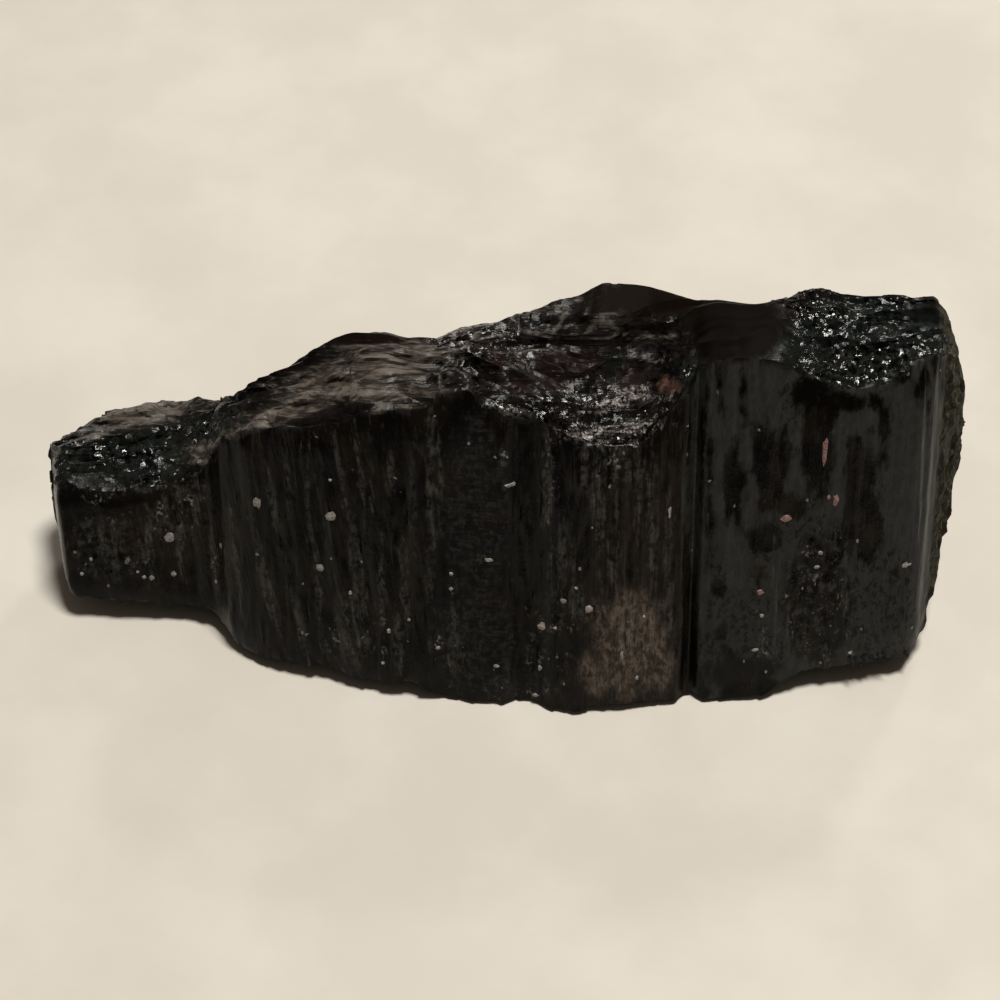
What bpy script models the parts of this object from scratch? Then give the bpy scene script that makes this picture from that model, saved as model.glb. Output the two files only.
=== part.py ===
"""A hand specimen of black tourmaline (schorl), lying as it rests.

It grew as one mass of crystal: a broad slab of striated prism, broken across at its
upper and lower ends and at both sides. Everything is worked out in the crystal's own
axes first: x runs along the slab, s runs up along the striations and d runs in from
the striated face. The striations lean back from the upright by LEAN.

All lengths below are millimetres. The mesh is made in metres.
"""
import math

import bpy
import numpy as np

MM = 0.001
SEED = 11
NAME = "tourmaline_crystal"

# How the specimen lies, and where its box is centred.
LEAN = math.radians(25.0)
UP_STRIATIONS = np.array([0.0, math.sin(LEAN), math.cos(LEAN)])
INTO_SLAB = np.array([0.0, math.cos(LEAN), -math.sin(LEAN)])
CENTRE_X = 0.27
CENTRE_Y = 19.69

# The ends of the slab, and how far they run out askew from the striations.
LEFT_END = -47.9
RIGHT_END = 48.2
SKEW = (
    (-48.0, -0.05), (-40.0, -0.02), (-30.0, -0.02), (-24.0, -0.06), (-17.0, -0.09), (-9.0, -0.02),
    (0.0, 0.0), (38.0, 0.0), (44.0, 0.02), (48.0, 0.03),
)
SKEW_ABOUT = 20.0

# The striated face: how deep it lies, along the slab. The low left block stands back,
# and the two jumps are the open joint left of the middle and the deep groove right of it.
FACE_DEPTH = (
    (-47.9, 16.0), (-47.3, 12.2), (-47.0, 11.1), (-40.3, 10.7), (-33.9, 10.8), (-30.2, 10.1),
    (-29.0, 7.4), (-25.3, 5.2), (-20.5, 3.8), (-15.9, 2.8), (-6.6, 1.4), (-6.3, 2.0),
    (-3.1, 1.3), (0.8, 0.9), (1.6, 1.9), (3.9, 1.5), (4.5, 0.8), (7.8, 0.1), (15.2, 0.6),
    (18.7, 0.9), (19.4, 2.6), (20.0, 2.8), (20.4, 1.3), (26.5, 1.7), (32.7, 2.6), (39.0, 3.5),
    (42.4, 4.0), (43.8, 4.6), (44.9, 5.6), (45.6, 7.4), (46.3, 10.0), (47.1, 12.0), (48.2, 14.5),
)

# The front edge of the broken top, up along the striations.
RIM_HEIGHT = (
    (-47.9, 19.5), (-46.0, 21.5), (-41.9, 21.0), (-36.6, 21.4), (-33.5, 22.1), (-30.0, 24.2),
    (-28.9, 28.3), (-25.7, 30.3), (-22.7, 31.3), (-14.5, 32.2), (-13.5, 33.7), (-6.5, 34.7),
    (-6.2, 35.7), (-3.0, 36.2), (-1.9, 34.7), (3.7, 33.6), (6.6, 31.9), (9.7, 30.8), (14.5, 30.8),
    (16.3, 33.0), (18.2, 36.2), (19.8, 39.1), (23.6, 40.2), (27.7, 39.6), (29.7, 37.7),
    (35.9, 35.9), (38.8, 37.1), (43.4, 38.8), (45.6, 38.2), (46.3, 35.6), (47.2, 34.4),
    (48.2, 31.5),
)

# The front edge of the broken underside.
FOOT_HEIGHT = (
    (-47.9, 12.0), (-47.3, 8.6), (-45.4, 8.4), (-37.8, 7.9), (-30.7, 7.5), (-29.5, 5.7),
    (-27.5, 4.2), (-22.1, 4.3), (-18.9, 4.0), (-17.6, 3.4), (-15.7, 3.0), (-9.4, 3.0),
    (-7.3, 2.2), (-4.7, 1.4), (0.0, 0.8), (6.3, 0.5), (8.0, 0.7), (9.4, 1.2), (15.7, 1.6),
    (20.3, 1.4), (25.7, 1.6), (27.9, 2.1), (29.3, 2.7), (30.2, 4.2), (40.7, 4.9), (43.3, 5.2),
    (45.0, 6.0), (45.9, 8.2), (46.8, 11.5), (47.6, 16.0), (48.2, 22.0),
)

# The back edge of the broken top: its height up the striations, and its depth.
CREST_HEIGHT = (
    (-47.9, 23.2), (-45.2, 23.6), (-43.3, 25.0), (-39.7, 26.0), (-38.8, 25.6), (-37.7, 26.6),
    (-34.5, 25.8), (-33.2, 26.7), (-27.9, 28.2), (-24.9, 31.0), (-19.9, 33.8), (-17.6, 34.9),
    (-15.7, 36.6), (-13.2, 37.8), (-10.7, 38.1), (-9.2, 37.4), (-6.1, 37.5), (-4.7, 38.6),
    (0.5, 38.9), (3.0, 40.0), (8.0, 41.2), (9.4, 42.3), (10.9, 42.8), (14.5, 42.4), (20.1, 41.8),
    (22.0, 42.3), (24.9, 41.9), (30.0, 42.1), (33.0, 42.6), (37.1, 40.8), (43.6, 40.6),
    (45.2, 39.4), (46.3, 36.2), (47.2, 34.0), (48.2, 30.5),
)
CREST_DEPTH = (
    (-47.9, 18.8), (-47.1, 19.8), (-43.6, 21.2), (-36.0, 22.7), (-31.5, 21.5), (-25.9, 15.0),
    (-20.8, 14.1), (-13.8, 14.1), (-6.4, 12.8), (0.5, 14.3), (6.1, 15.3), (15.2, 15.8),
    (21.3, 12.0), (26.5, 11.4), (31.5, 13.9), (34.6, 14.7), (42.2, 13.7), (44.9, 15.3),
    (45.7, 17.1), (47.2, 18.0), (48.2, 17.6),
)

# How deep the slab is behind the crest, where its broken shoulder has come down to the back.
BACK_DEPTH = (
    (-47.9, 18.8), (-47.1, 20.0), (-43.6, 23.5), (-40.2, 25.5), (-31.5, 26.5), (-20.0, 26.0),
    (0.0, 28.0), (15.0, 29.0), (34.0, 27.5), (42.2, 25.5), (44.9, 22.8), (45.7, 20.0),
    (47.2, 18.8), (48.2, 17.6),
)

# The underside clears the floor under the left block and by the right end.
LIFT = (
    (-47.9, 6.0), (-46.0, 2.2), (-33.0, 1.4), (-30.0, 0.8), (-28.5, 0.0), (42.0, 0.0),
    (44.4, 0.8), (46.0, 3.0), (48.2, 10.0),
)
BASE_SETBACK = 3.2
BACK_CHAMFER = 1.6

# The face is made of upright strips, each a little proud or sunk and a little turned,
# with a groove between neighbours.
STRIP_WIDTH = (0.9, 3.4)
STRIP_RELIEF = (
    (-48.0, 0.08), (-30.0, 0.12), (-26.0, 0.26), (-8.0, 0.26), (-6.0, 0.05), (0.5, 0.05),
    (2.0, 0.28), (18.0, 0.28), (21.0, 0.05), (40.0, 0.05), (43.0, 0.22), (48.2, 0.20),
)
WIDE_STRIP = 1.7
STRIP_EDGE = 0.16
GROOVE = (0.0, 0.9)
JOINTS = (-30.0, -29.1, -28.3, -6.55, -6.25, 0.9, 1.6, 3.9, 4.5, 18.8, 19.4, 20.0, 20.4, 45.6, 46.3)
FADES = (
    (1.0, 1.0, 1.0, 1.0, 1.0), (0.3, 0.6, 1.0, 1.0, 0.8), (1.0, 1.0, 0.8, 0.3, 0.1),
    (0.1, 0.2, 0.7, 1.0, 1.0), (0.5, 1.0, 1.0, 0.4, 0.2),
)
FACE_ROWS = (0.0, 0.08, 0.36, 0.66, 0.93)
FACE_ROUGH = 0.10
FOOT_CLEARANCE = 0.25
RIM_CHIP = 0.5

# Ledges that cross the broken top: where each lies between the rim (0) and the crest
# (1), and how high its riser stands.
LEDGES = (
    (
        ((-48.0, 0.16), (-36.0, 0.15), (-29.0, 0.10), (-20.0, 0.09), (-6.6, 0.09), (-6.2, 0.12),
         (3.0, 0.10), (12.0, 0.12), (19.0, 0.08), (30.0, 0.14), (48.0, 0.14)),
        ((-48.0, 0.4), (-30.0, 0.5), (-25.0, 0.7), (-17.0, 1.5), (-10.0, 1.3), (-6.6, 2.6),
         (-6.2, 0.9), (4.0, 0.8), (12.0, 0.5), (18.0, 0.9), (21.5, 0.05), (28.0, 0.05), (34.0, 0.6),
         (48.0, 0.3)),
    ),
    (
        ((-48.0, 0.34), (-38.0, 0.28), (-30.0, 0.30), (-20.0, 0.23), (-8.0, 0.20), (-3.0, 0.28),
         (6.0, 0.23), (14.0, 0.28), (20.0, 0.22), (33.0, 0.32), (48.0, 0.28)),
        ((-48.0, 0.9), (-34.0, 0.5), (-24.0, 1.0), (-14.0, 0.3), (-4.0, 1.2), (3.0, 0.5),
         (10.0, 1.3), (19.0, 0.4), (21.5, 0.05), (28.0, 0.1), (37.0, 1.1), (48.0, 0.4)),
    ),
    (
        ((-48.0, 0.50), (-36.0, 0.44), (-28.0, 0.48), (-17.0, 0.38), (-7.0, 0.41), (-1.0, 0.44),
         (8.0, 0.40), (17.0, 0.46), (24.0, 0.38), (36.0, 0.48), (48.0, 0.42)),
        ((-48.0, 0.4), (-39.0, 1.0), (-28.0, 0.4), (-19.0, 1.1), (-9.0, 0.4), (-2.0, 1.5),
         (5.0, 0.5), (13.0, 1.4), (21.0, 0.1), (28.0, 0.1), (33.0, 0.9), (48.0, 0.5)),
    ),
    (
        ((-48.0, 0.66), (-36.0, 0.60), (-26.0, 0.63), (-17.0, 0.57), (-7.0, 0.60), (-1.0, 0.62),
         (8.0, 0.57), (17.0, 0.64), (24.0, 0.55), (36.0, 0.64), (48.0, 0.58)),
        ((-48.0, 0.7), (-37.0, 0.4), (-24.0, 0.9), (-16.0, 0.5), (-8.0, 0.9), (0.0, 0.6),
         (8.0, 1.4), (16.0, 0.7), (21.5, 0.05), (27.0, 0.1), (31.0, 0.5), (40.0, 1.0), (48.0, 0.3)),
    ),
    (
        ((-48.0, 0.82), (-32.0, 0.78), (-20.0, 0.74), (-10.0, 0.78), (-4.0, 0.76), (6.0, 0.74),
         (9.0, 0.76), (18.0, 0.80), (26.0, 0.72), (33.0, 0.80), (48.0, 0.76)),
        ((-48.0, 0.3), (-30.0, 0.6), (-18.0, 1.3), (-10.0, 0.6), (-4.0, 1.0), (4.0, 0.7),
         (9.0, 1.5), (17.0, 1.7), (21.0, 0.2), (27.0, 0.1), (32.0, 1.0), (38.0, 0.6), (48.0, 0.3)),
    ),
    (
        ((-48.0, 0.93), (-30.0, 0.91), (-17.0, 0.88), (-8.0, 0.92), (3.0, 0.90), (9.0, 0.87),
         (19.0, 0.92), (26.0, 0.88), (34.0, 0.91), (48.0, 0.90)),
        ((-48.0, 0.2), (-26.0, 0.3), (-16.0, 0.9), (-10.0, 0.8), (-5.0, 0.3), (4.0, 0.6),
         (10.0, 1.2), (19.0, 0.6), (22.0, 0.1), (27.0, 0.1), (33.0, 0.8), (48.0, 0.2)),
    ),
)
RISER_RUN = 0.03
LEDGE_WANDER = 0.07
LEAST_TREAD = 0.02

# The broken top sags into a scoop in the middle and swells elsewhere.
TOP_SWELL = (
    (-48.0, 1.6), (-32.0, 1.8), (-24.0, 1.6), (-8.0, 1.4), (-4.0, 0.2), (4.0, -0.8), (12.0, -2.4),
    (18.0, -1.2), (21.0, 1.2), (34.0, 2.0), (44.0, 1.6), (48.0, 0.6),
)
TOP_ROUGH = (
    (-48.0, 0.45), (-30.0, 0.45), (-24.0, 0.30), (-8.0, 0.30), (-2.0, 0.50), (18.0, 0.50),
    (21.0, 0.16), (28.0, 0.22), (33.0, 0.55), (45.0, 0.45), (48.2, 0.20),
)
TOP_FACET = (1.4, 4.2)
TOP_BLOCK = (4.0, 11.0)
BLOCK_SIZE = 0.7

BACK_ROWS = (0.10, 0.27, 0.49, 0.73, 0.93)
SHOULDER = (0.34, 0.68, 0.92, 1.0, 1.0)
BACK_SWELL = ((-48.0, 0.1), (-20.0, 1.6), (5.0, 0.8), (20.0, 2.0), (45.0, 0.2), (48.2, 0.0))
BACK_FACET = (2.5, 7.0)
BACK_ROUGH = 0.6
BACK_FLUTE = 0.35
BACK_FLUTE_WIDTH = (0.7, 2.6)
BASE_ROWS = (0.10, 0.42, 0.72)
END_RINGS = (0.70, 0.36)
END_RELIEF = 0.45

BLACK = (0.012, 0.011, 0.010, 1.0)
ROUGHNESS = 0.28
IOR = 1.64


def along(table, x):
    """The value of a table at x, straight between its points."""
    points = np.array(table)
    return np.interp(x, points[:, 0], points[:, 1])


def broken(random, x, spacing, size):
    """An uneven run of flat breaks: chance values at chance places, straight between."""
    places = [LEFT_END - 1.0]
    while places[-1] < RIGHT_END + 1.0:
        places.append(places[-1] + random.uniform(*spacing))
    values = random.uniform(-1.0, 1.0, len(places))
    return size * np.interp(x, places, values)


def strips(random):
    """Where the cross-sections stand, and how far the face is sunk at each of its rows."""
    places, sunk = [], []
    x = LEFT_END
    while x < RIGHT_END - STRIP_WIDTH[0]:
        width = min(random.uniform(*STRIP_WIDTH), RIGHT_END - x)
        relief = along(STRIP_RELIEF, x)
        level = relief * random.uniform(-1.0, 1.0)
        turn = relief * random.uniform(-0.6, 0.6)
        fade = np.array(FADES[random.randint(len(FADES))])
        inside = [(STRIP_EDGE, level - turn), (width - STRIP_EDGE, level + turn)]
        if width > WIDE_STRIP:
            middle = width * random.uniform(0.35, 0.65)
            inside.append((middle, level + 0.5 * relief * random.uniform(-1.0, 1.0)))
        inside.append((width, level + relief * random.uniform(*GROOVE)))
        for step, depth in inside:
            clear = min(abs(x + step - joint) for joint in JOINTS)
            if clear > 0.2 and x + step < RIGHT_END - 0.3:
                places.append(x + step)
                sunk.append(depth * fade)
        x += width
    for joint in (LEFT_END, RIGHT_END) + JOINTS:
        places.append(joint)
        sunk.append(np.zeros(len(FACE_ROWS)))
    order = np.argsort(places)
    return np.array(places)[order], np.array(sunk)[order].T


def face_rows(x, sunk, random):
    """The striated face, from the foot to just under the rim."""
    rim = along(RIM_HEIGHT, x)
    depth = along(FACE_DEPTH, x)
    clear = FOOT_CLEARANCE + (depth + 2.0 * RIM_CHIP) * math.sin(LEAN)
    foot = np.maximum(along(FOOT_HEIGHT, x), clear / math.cos(LEAN))
    rows = []
    for index, part in enumerate(FACE_ROWS):
        edge = max(0.0, 0.06 - part) / 0.06
        rough = broken(random, x, (1.5, 5.0), FACE_ROUGH)
        chip = edge * RIM_CHIP * (0.6 + broken(random, x, (1.0, 3.0), 0.4))
        rows.append((depth + sunk[index] + rough + chip, foot + part * (rim - foot)))
    return rows


def top_rows(x, sunk, random):
    """The broken top, from the rim back to the crest, with its ledges."""
    rim = along(RIM_HEIGHT, x) + broken(random, x, (1.0, 3.0), 0.35)
    front = along(FACE_DEPTH, x) + sunk[-1] + RIM_CHIP * (0.8 + broken(random, x, (1.0, 3.0), 0.6))
    crest = along(CREST_HEIGHT, x)
    back = along(CREST_DEPTH, x)
    swell = along(TOP_SWELL, x)
    rough = along(TOP_ROUGH, x)

    def point(across, height):
        base = rim + across * (crest - rim) + swell * 4.0 * across * (1.0 - across)
        return front + across * (back - front), base + height

    rows = [(front, rim)]
    reached = np.full(len(x), 0.02)
    for line, riser in LEDGES:
        place = along(line, x) + broken(random, x, (2.5, 7.0), LEDGE_WANDER)
        under = np.maximum(place - RISER_RUN, reached + LEAST_TREAD)
        place = np.maximum(place, under + RISER_RUN)
        reached = place
        height = along(riser, x) * (1.0 + broken(random, x, (2.5, 7.0), 0.9))
        low = rough * broken(random, x, TOP_FACET, 1.0) - 0.5 * height
        low += broken(random, x, TOP_BLOCK, BLOCK_SIZE) * np.minimum(1.0, 3.0 * rough)
        rows.append(point(under, low))
        rows.append(point(place, low + height))
    rows.append(point(np.ones(len(x)), 0.3 * rough * broken(random, x, TOP_FACET, 1.0)))
    return rows


def lowest_back(x):
    """Height up the striations at which the back meets the underside."""
    depth = along(BACK_DEPTH, x)
    return (along(LIFT, x) + BACK_CHAMFER + depth * math.sin(LEAN)) / math.cos(LEAN)


def back_rows(x, random):
    """The back, from under the crest down to just above the floor."""
    crest = along(CREST_HEIGHT, x)
    near = along(CREST_DEPTH, x)
    far = along(BACK_DEPTH, x)
    low = lowest_back(x)
    swell = along(BACK_SWELL, x)
    flute = broken(random, x, BACK_FLUTE_WIDTH, BACK_FLUTE)
    rows = []
    for part, share in zip(BACK_ROWS, SHOULDER):
        size = min(1.0, 4.0 * part)
        out = swell * math.sin(math.pi * part) + size * flute
        out += broken(random, x, BACK_FACET, size * BACK_ROUGH)
        rows.append((near + share * (far - near) + out, crest + part * (low - crest)))
    return rows


def base_rows(x, random):
    """The underside, from the back to the start of the slope up to the foot."""
    lift = along(LIFT, x)
    depth = along(BACK_DEPTH, x)
    back = depth * math.cos(LEAN) + lowest_back(x) * math.sin(LEAN) - BACK_CHAMFER
    face = along(FACE_DEPTH, x)
    front = face * math.cos(LEAN) + along(FOOT_HEIGHT, x) * math.sin(LEAN)
    front = np.minimum(front + BASE_SETBACK + broken(random, x, (2.0, 6.0), 1.2), back - 1.0)
    rows = []
    for part in BASE_ROWS + (1.0,):
        y = back + part * (front - back)
        z = lift * (1.0 + broken(random, x, (3.0, 8.0), 0.25))
        depth_there = y * math.cos(LEAN) - z * math.sin(LEAN)
        height_there = y * math.sin(LEAN) + z * math.cos(LEAN)
        rows.append((depth_there, height_there))
    return rows


def cross_sections(random):
    """Points of every cross-section, in x, d and s."""
    x, sunk = strips(random)
    rows = face_rows(x, sunk, random)
    rows += top_rows(x, sunk, random)
    rows += back_rows(x, random)
    rows += base_rows(x, random)
    grid = np.zeros((len(x), len(rows), 3))
    for index, (depth, height) in enumerate(rows):
        grid[:, index, 0] = x + along(SKEW, x) * (height - SKEW_ABOUT)
        grid[:, index, 1] = depth
        grid[:, index, 2] = height
    return grid


def closed_ends(grid, random):
    """The grid's faces, and rings that draw in to close each end."""
    count, around = grid.shape[:2]
    points = [tuple(point) for point in grid.reshape(-1, 3)]
    faces = []
    for i in range(count - 1):
        here, there = i * around, (i + 1) * around
        for j in range(around):
            k = (j + 1) % around
            faces.append((here + j, there + j, there + k, here + k))
    for end, outward in ((0, -1.0), (count - 1, 1.0)):
        ring = grid[end]
        centre = ring.mean(axis=0)
        last = [end * around + j for j in range(around)]
        for scale in END_RINGS:
            now = []
            for j in range(around):
                place = centre + (ring[j] - centre) * scale
                place[0] += outward * END_RELIEF * (1.0 - scale)
                place[0] += END_RELIEF * random.uniform(-0.4, 0.4)
                now.append(len(points))
                points.append(tuple(place))
            for j in range(around):
                k = (j + 1) % around
                quad = (last[j], last[k], now[k], now[j])
                faces.append(quad if outward < 0 else quad[::-1])
            last = now
        hub = len(points)
        points.append((centre[0] + outward * END_RELIEF, centre[1], centre[2]))
        for j in range(around):
            k = (j + 1) % around
            fan = (last[j], last[k], hub)
            faces.append(fan if outward < 0 else fan[::-1])
    return np.array(points), faces


def in_frame(points):
    """Crystal axes to the frame: upright z, with the specimen over the origin."""
    x, depth, height = points[:, 0], points[:, 1], points[:, 2]
    placed = depth[:, None] * INTO_SLAB + height[:, None] * UP_STRIATIONS
    placed[:, 0] = x
    placed -= (CENTRE_X, CENTRE_Y, 0.0)
    return placed * MM


def black_crystal():
    material = bpy.data.materials.new("black_tourmaline")
    material.use_nodes = True
    shader = material.node_tree.nodes["Principled BSDF"]
    shader.inputs["Base Color"].default_value = BLACK
    shader.inputs["Roughness"].default_value = ROUGHNESS
    shader.inputs["IOR"].default_value = IOR
    return material


def main():
    for thing in list(bpy.data.objects):
        bpy.data.objects.remove(thing, do_unlink=True)
    random = np.random.RandomState(SEED)
    points, faces = closed_ends(cross_sections(random), random)
    mesh = bpy.data.meshes.new(NAME)
    mesh.from_pydata(in_frame(points).tolist(), [], faces)
    mesh.validate()
    mesh.update()
    mesh.materials.append(black_crystal())
    crystal = bpy.data.objects.new(NAME, mesh)
    collection = bpy.data.collections.new("Tourmaline crystal")
    bpy.context.scene.collection.children.link(collection)
    collection.objects.link(crystal)


main()
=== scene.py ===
"""Looks of a black tourmaline hand specimen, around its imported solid.

The fine surface is made from the same cage of cross-sections as the solid, cut finer
and given the relief that is too small for it. Lengths are millimetres until the mesh
is made. The crystal's own axes are x along the slab, d in from the striated face and
s up along the striations.
"""
import math

import bmesh
import bpy
import numpy as np
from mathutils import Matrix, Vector
from mathutils.bvhtree import BVHTree


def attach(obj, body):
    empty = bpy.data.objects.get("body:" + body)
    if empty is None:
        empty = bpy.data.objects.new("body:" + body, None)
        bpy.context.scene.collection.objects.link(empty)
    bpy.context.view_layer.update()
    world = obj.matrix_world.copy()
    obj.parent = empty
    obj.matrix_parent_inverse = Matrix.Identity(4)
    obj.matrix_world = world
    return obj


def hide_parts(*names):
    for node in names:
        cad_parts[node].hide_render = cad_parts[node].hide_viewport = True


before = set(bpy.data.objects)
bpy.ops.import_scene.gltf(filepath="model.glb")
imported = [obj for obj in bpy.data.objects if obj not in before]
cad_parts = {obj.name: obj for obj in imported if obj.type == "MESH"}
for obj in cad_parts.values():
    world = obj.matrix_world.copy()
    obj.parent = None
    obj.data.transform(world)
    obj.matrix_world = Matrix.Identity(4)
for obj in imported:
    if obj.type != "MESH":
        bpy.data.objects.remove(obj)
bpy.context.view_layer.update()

MM = 0.001

# ---------------------------------------------------------------- the cage of the solid
SEED = 11
LEAN = math.radians(25.0)
UP_STRIATIONS = np.array([0.0, math.sin(LEAN), math.cos(LEAN)])
INTO_SLAB = np.array([0.0, math.cos(LEAN), -math.sin(LEAN)])
CENTRE_X = 0.27
CENTRE_Y = 19.69

# The ends of the slab, and how far they run out askew from the striations.
LEFT_END = -47.9
RIGHT_END = 48.2
SKEW = (
    (-48, -0.05), (-40, -0.02), (-30, -0.02), (-24, -0.06), (-17, -0.09), (-9, -0.02), (0, 0),
    (38, 0), (44, 0.02), (48, 0.03),
)
SKEW_ABOUT = 20.0

# The striated face: how deep it lies, along the slab. The low left block stands back,
# and the two jumps are the open joint left of the middle and the deep groove right of it.
FACE_DEPTH = (
    (-47.9, 16), (-47.3, 12.2), (-47, 11.1), (-40.3, 10.7), (-33.9, 10.8), (-30.2, 10.1),
    (-29, 7.4), (-25.3, 5.2), (-20.5, 3.8), (-15.9, 2.8), (-6.6, 1.4), (-6.3, 2), (-3.1, 1.3),
    (0.8, 0.9), (1.6, 1.9), (3.9, 1.5), (4.5, 0.8), (7.8, 0.1), (15.2, 0.6), (18.7, 0.9),
    (19.4, 2.6), (20, 2.8), (20.4, 1.3), (26.5, 1.7), (32.7, 2.6), (39, 3.5), (42.4, 4),
    (43.8, 4.6), (44.9, 5.6), (45.6, 7.4), (46.3, 10), (47.1, 12), (48.2, 14.5),
)

# The front edge of the broken top, up along the striations.
RIM_HEIGHT = (
    (-47.9, 19.5), (-46, 21.5), (-41.9, 21), (-36.6, 21.4), (-33.5, 22.1), (-30, 24.2),
    (-28.9, 28.3), (-25.7, 30.3), (-22.7, 31.3), (-14.5, 32.2), (-13.5, 33.7), (-6.5, 34.7),
    (-6.2, 35.7), (-3, 36.2), (-1.9, 34.7), (3.7, 33.6), (6.6, 31.9), (9.7, 30.8), (14.5, 30.8),
    (16.3, 33), (18.2, 36.2), (19.8, 39.1), (23.6, 40.2), (27.7, 39.6), (29.7, 37.7), (35.9, 35.9),
    (38.8, 37.1), (43.4, 38.8), (45.6, 38.2), (46.3, 35.6), (47.2, 34.4), (48.2, 31.5),
)

# The front edge of the broken underside.
FOOT_HEIGHT = (
    (-47.9, 12), (-47.3, 8.6), (-45.4, 8.4), (-37.8, 7.9), (-30.7, 7.5), (-29.5, 5.7),
    (-27.5, 4.2), (-22.1, 4.3), (-18.9, 4), (-17.6, 3.4), (-15.7, 3), (-9.4, 3), (-7.3, 2.2),
    (-4.7, 1.4), (0, 0.8), (6.3, 0.5), (8, 0.7), (9.4, 1.2), (15.7, 1.6), (20.3, 1.4), (25.7, 1.6),
    (27.9, 2.1), (29.3, 2.7), (30.2, 4.2), (40.7, 4.9), (43.3, 5.2), (45, 6), (45.9, 8.2),
    (46.8, 11.5), (47.6, 16), (48.2, 22),
)

# The back edge of the broken top: its height up the striations, and its depth.
CREST_HEIGHT = (
    (-47.9, 23.2), (-45.2, 23.6), (-43.3, 25), (-39.7, 26), (-38.8, 25.6), (-37.7, 26.6),
    (-34.5, 25.8), (-33.2, 26.7), (-27.9, 28.2), (-24.9, 31), (-19.9, 33.8), (-17.6, 34.9),
    (-15.7, 36.6), (-13.2, 37.8), (-10.7, 38.1), (-9.2, 37.4), (-6.1, 37.5), (-4.7, 38.6),
    (0.5, 38.9), (3, 40), (8, 41.2), (9.4, 42.3), (10.9, 42.8), (14.5, 42.4), (20.1, 41.8),
    (22, 42.3), (24.9, 41.9), (30, 42.1), (33, 42.6), (37.1, 40.8), (43.6, 40.6), (45.2, 39.4),
    (46.3, 36.2), (47.2, 34), (48.2, 30.5),
)
CREST_DEPTH = (
    (-47.9, 18.8), (-47.1, 19.8), (-43.6, 21.2), (-36, 22.7), (-31.5, 21.5), (-25.9, 15),
    (-20.8, 14.1), (-13.8, 14.1), (-6.4, 12.8), (0.5, 14.3), (6.1, 15.3), (15.2, 15.8), (21.3, 12),
    (26.5, 11.4), (31.5, 13.9), (34.6, 14.7), (42.2, 13.7), (44.9, 15.3), (45.7, 17.1), (47.2, 18),
    (48.2, 17.6),
)

# How deep the slab is behind the crest, where its broken shoulder has come down to the back.
BACK_DEPTH = (
    (-47.9, 18.8), (-47.1, 20), (-43.6, 23.5), (-40.2, 25.5), (-31.5, 26.5), (-20, 26), (0, 28),
    (15, 29), (34, 27.5), (42.2, 25.5), (44.9, 22.8), (45.7, 20), (47.2, 18.8), (48.2, 17.6),
)

# The underside clears the floor under the left block and by the right end.
LIFT = (
    (-47.9, 6), (-46, 2.2), (-33, 1.4), (-30, 0.8), (-28.5, 0), (42, 0), (44.4, 0.8), (46, 3),
    (48.2, 10),
)
BASE_SETBACK = 3.2
BACK_CHAMFER = 1.6

# The face is made of upright strips, each a little proud or sunk and a little turned,
# with a groove between neighbours.
STRIP_WIDTH = (0.9, 3.4)
STRIP_RELIEF = (
    (-48, 0.08), (-30, 0.12), (-26, 0.26), (-8, 0.26), (-6, 0.05), (0.5, 0.05), (2, 0.28),
    (18, 0.28), (21, 0.05), (40, 0.05), (43, 0.22), (48.2, 0.2),
)
WIDE_STRIP = 1.7
STRIP_EDGE = 0.16
GROOVE = (0.0, 0.9)
# Open joints and deep grooves, where the cage always has a cross-section.
JOINTS = (-30, -29.1, -28.3, -6.55, -6.25, 0.9, 1.6, 3.9, 4.5, 18.8, 19.4, 20, 20.4, 45.6, 46.3)
# How a strip's relief fades up the face: a share for each row of the face.
FADES = (
    (1.0, 1.0, 1.0, 1.0, 1.0), (0.3, 0.6, 1.0, 1.0, 0.8), (1.0, 1.0, 0.8, 0.3, 0.1),
    (0.1, 0.2, 0.7, 1.0, 1.0), (0.5, 1.0, 1.0, 0.4, 0.2),
)
# Rows of the face between foot (0) and rim (1); those of the back and the underside below
# run from the crest down and from the back to the foot.
FACE_ROWS = (0.0, 0.08, 0.36, 0.66, 0.93)
FACE_ROUGH = 0.10
FOOT_CLEARANCE = 0.25
RIM_CHIP = 0.5

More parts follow.
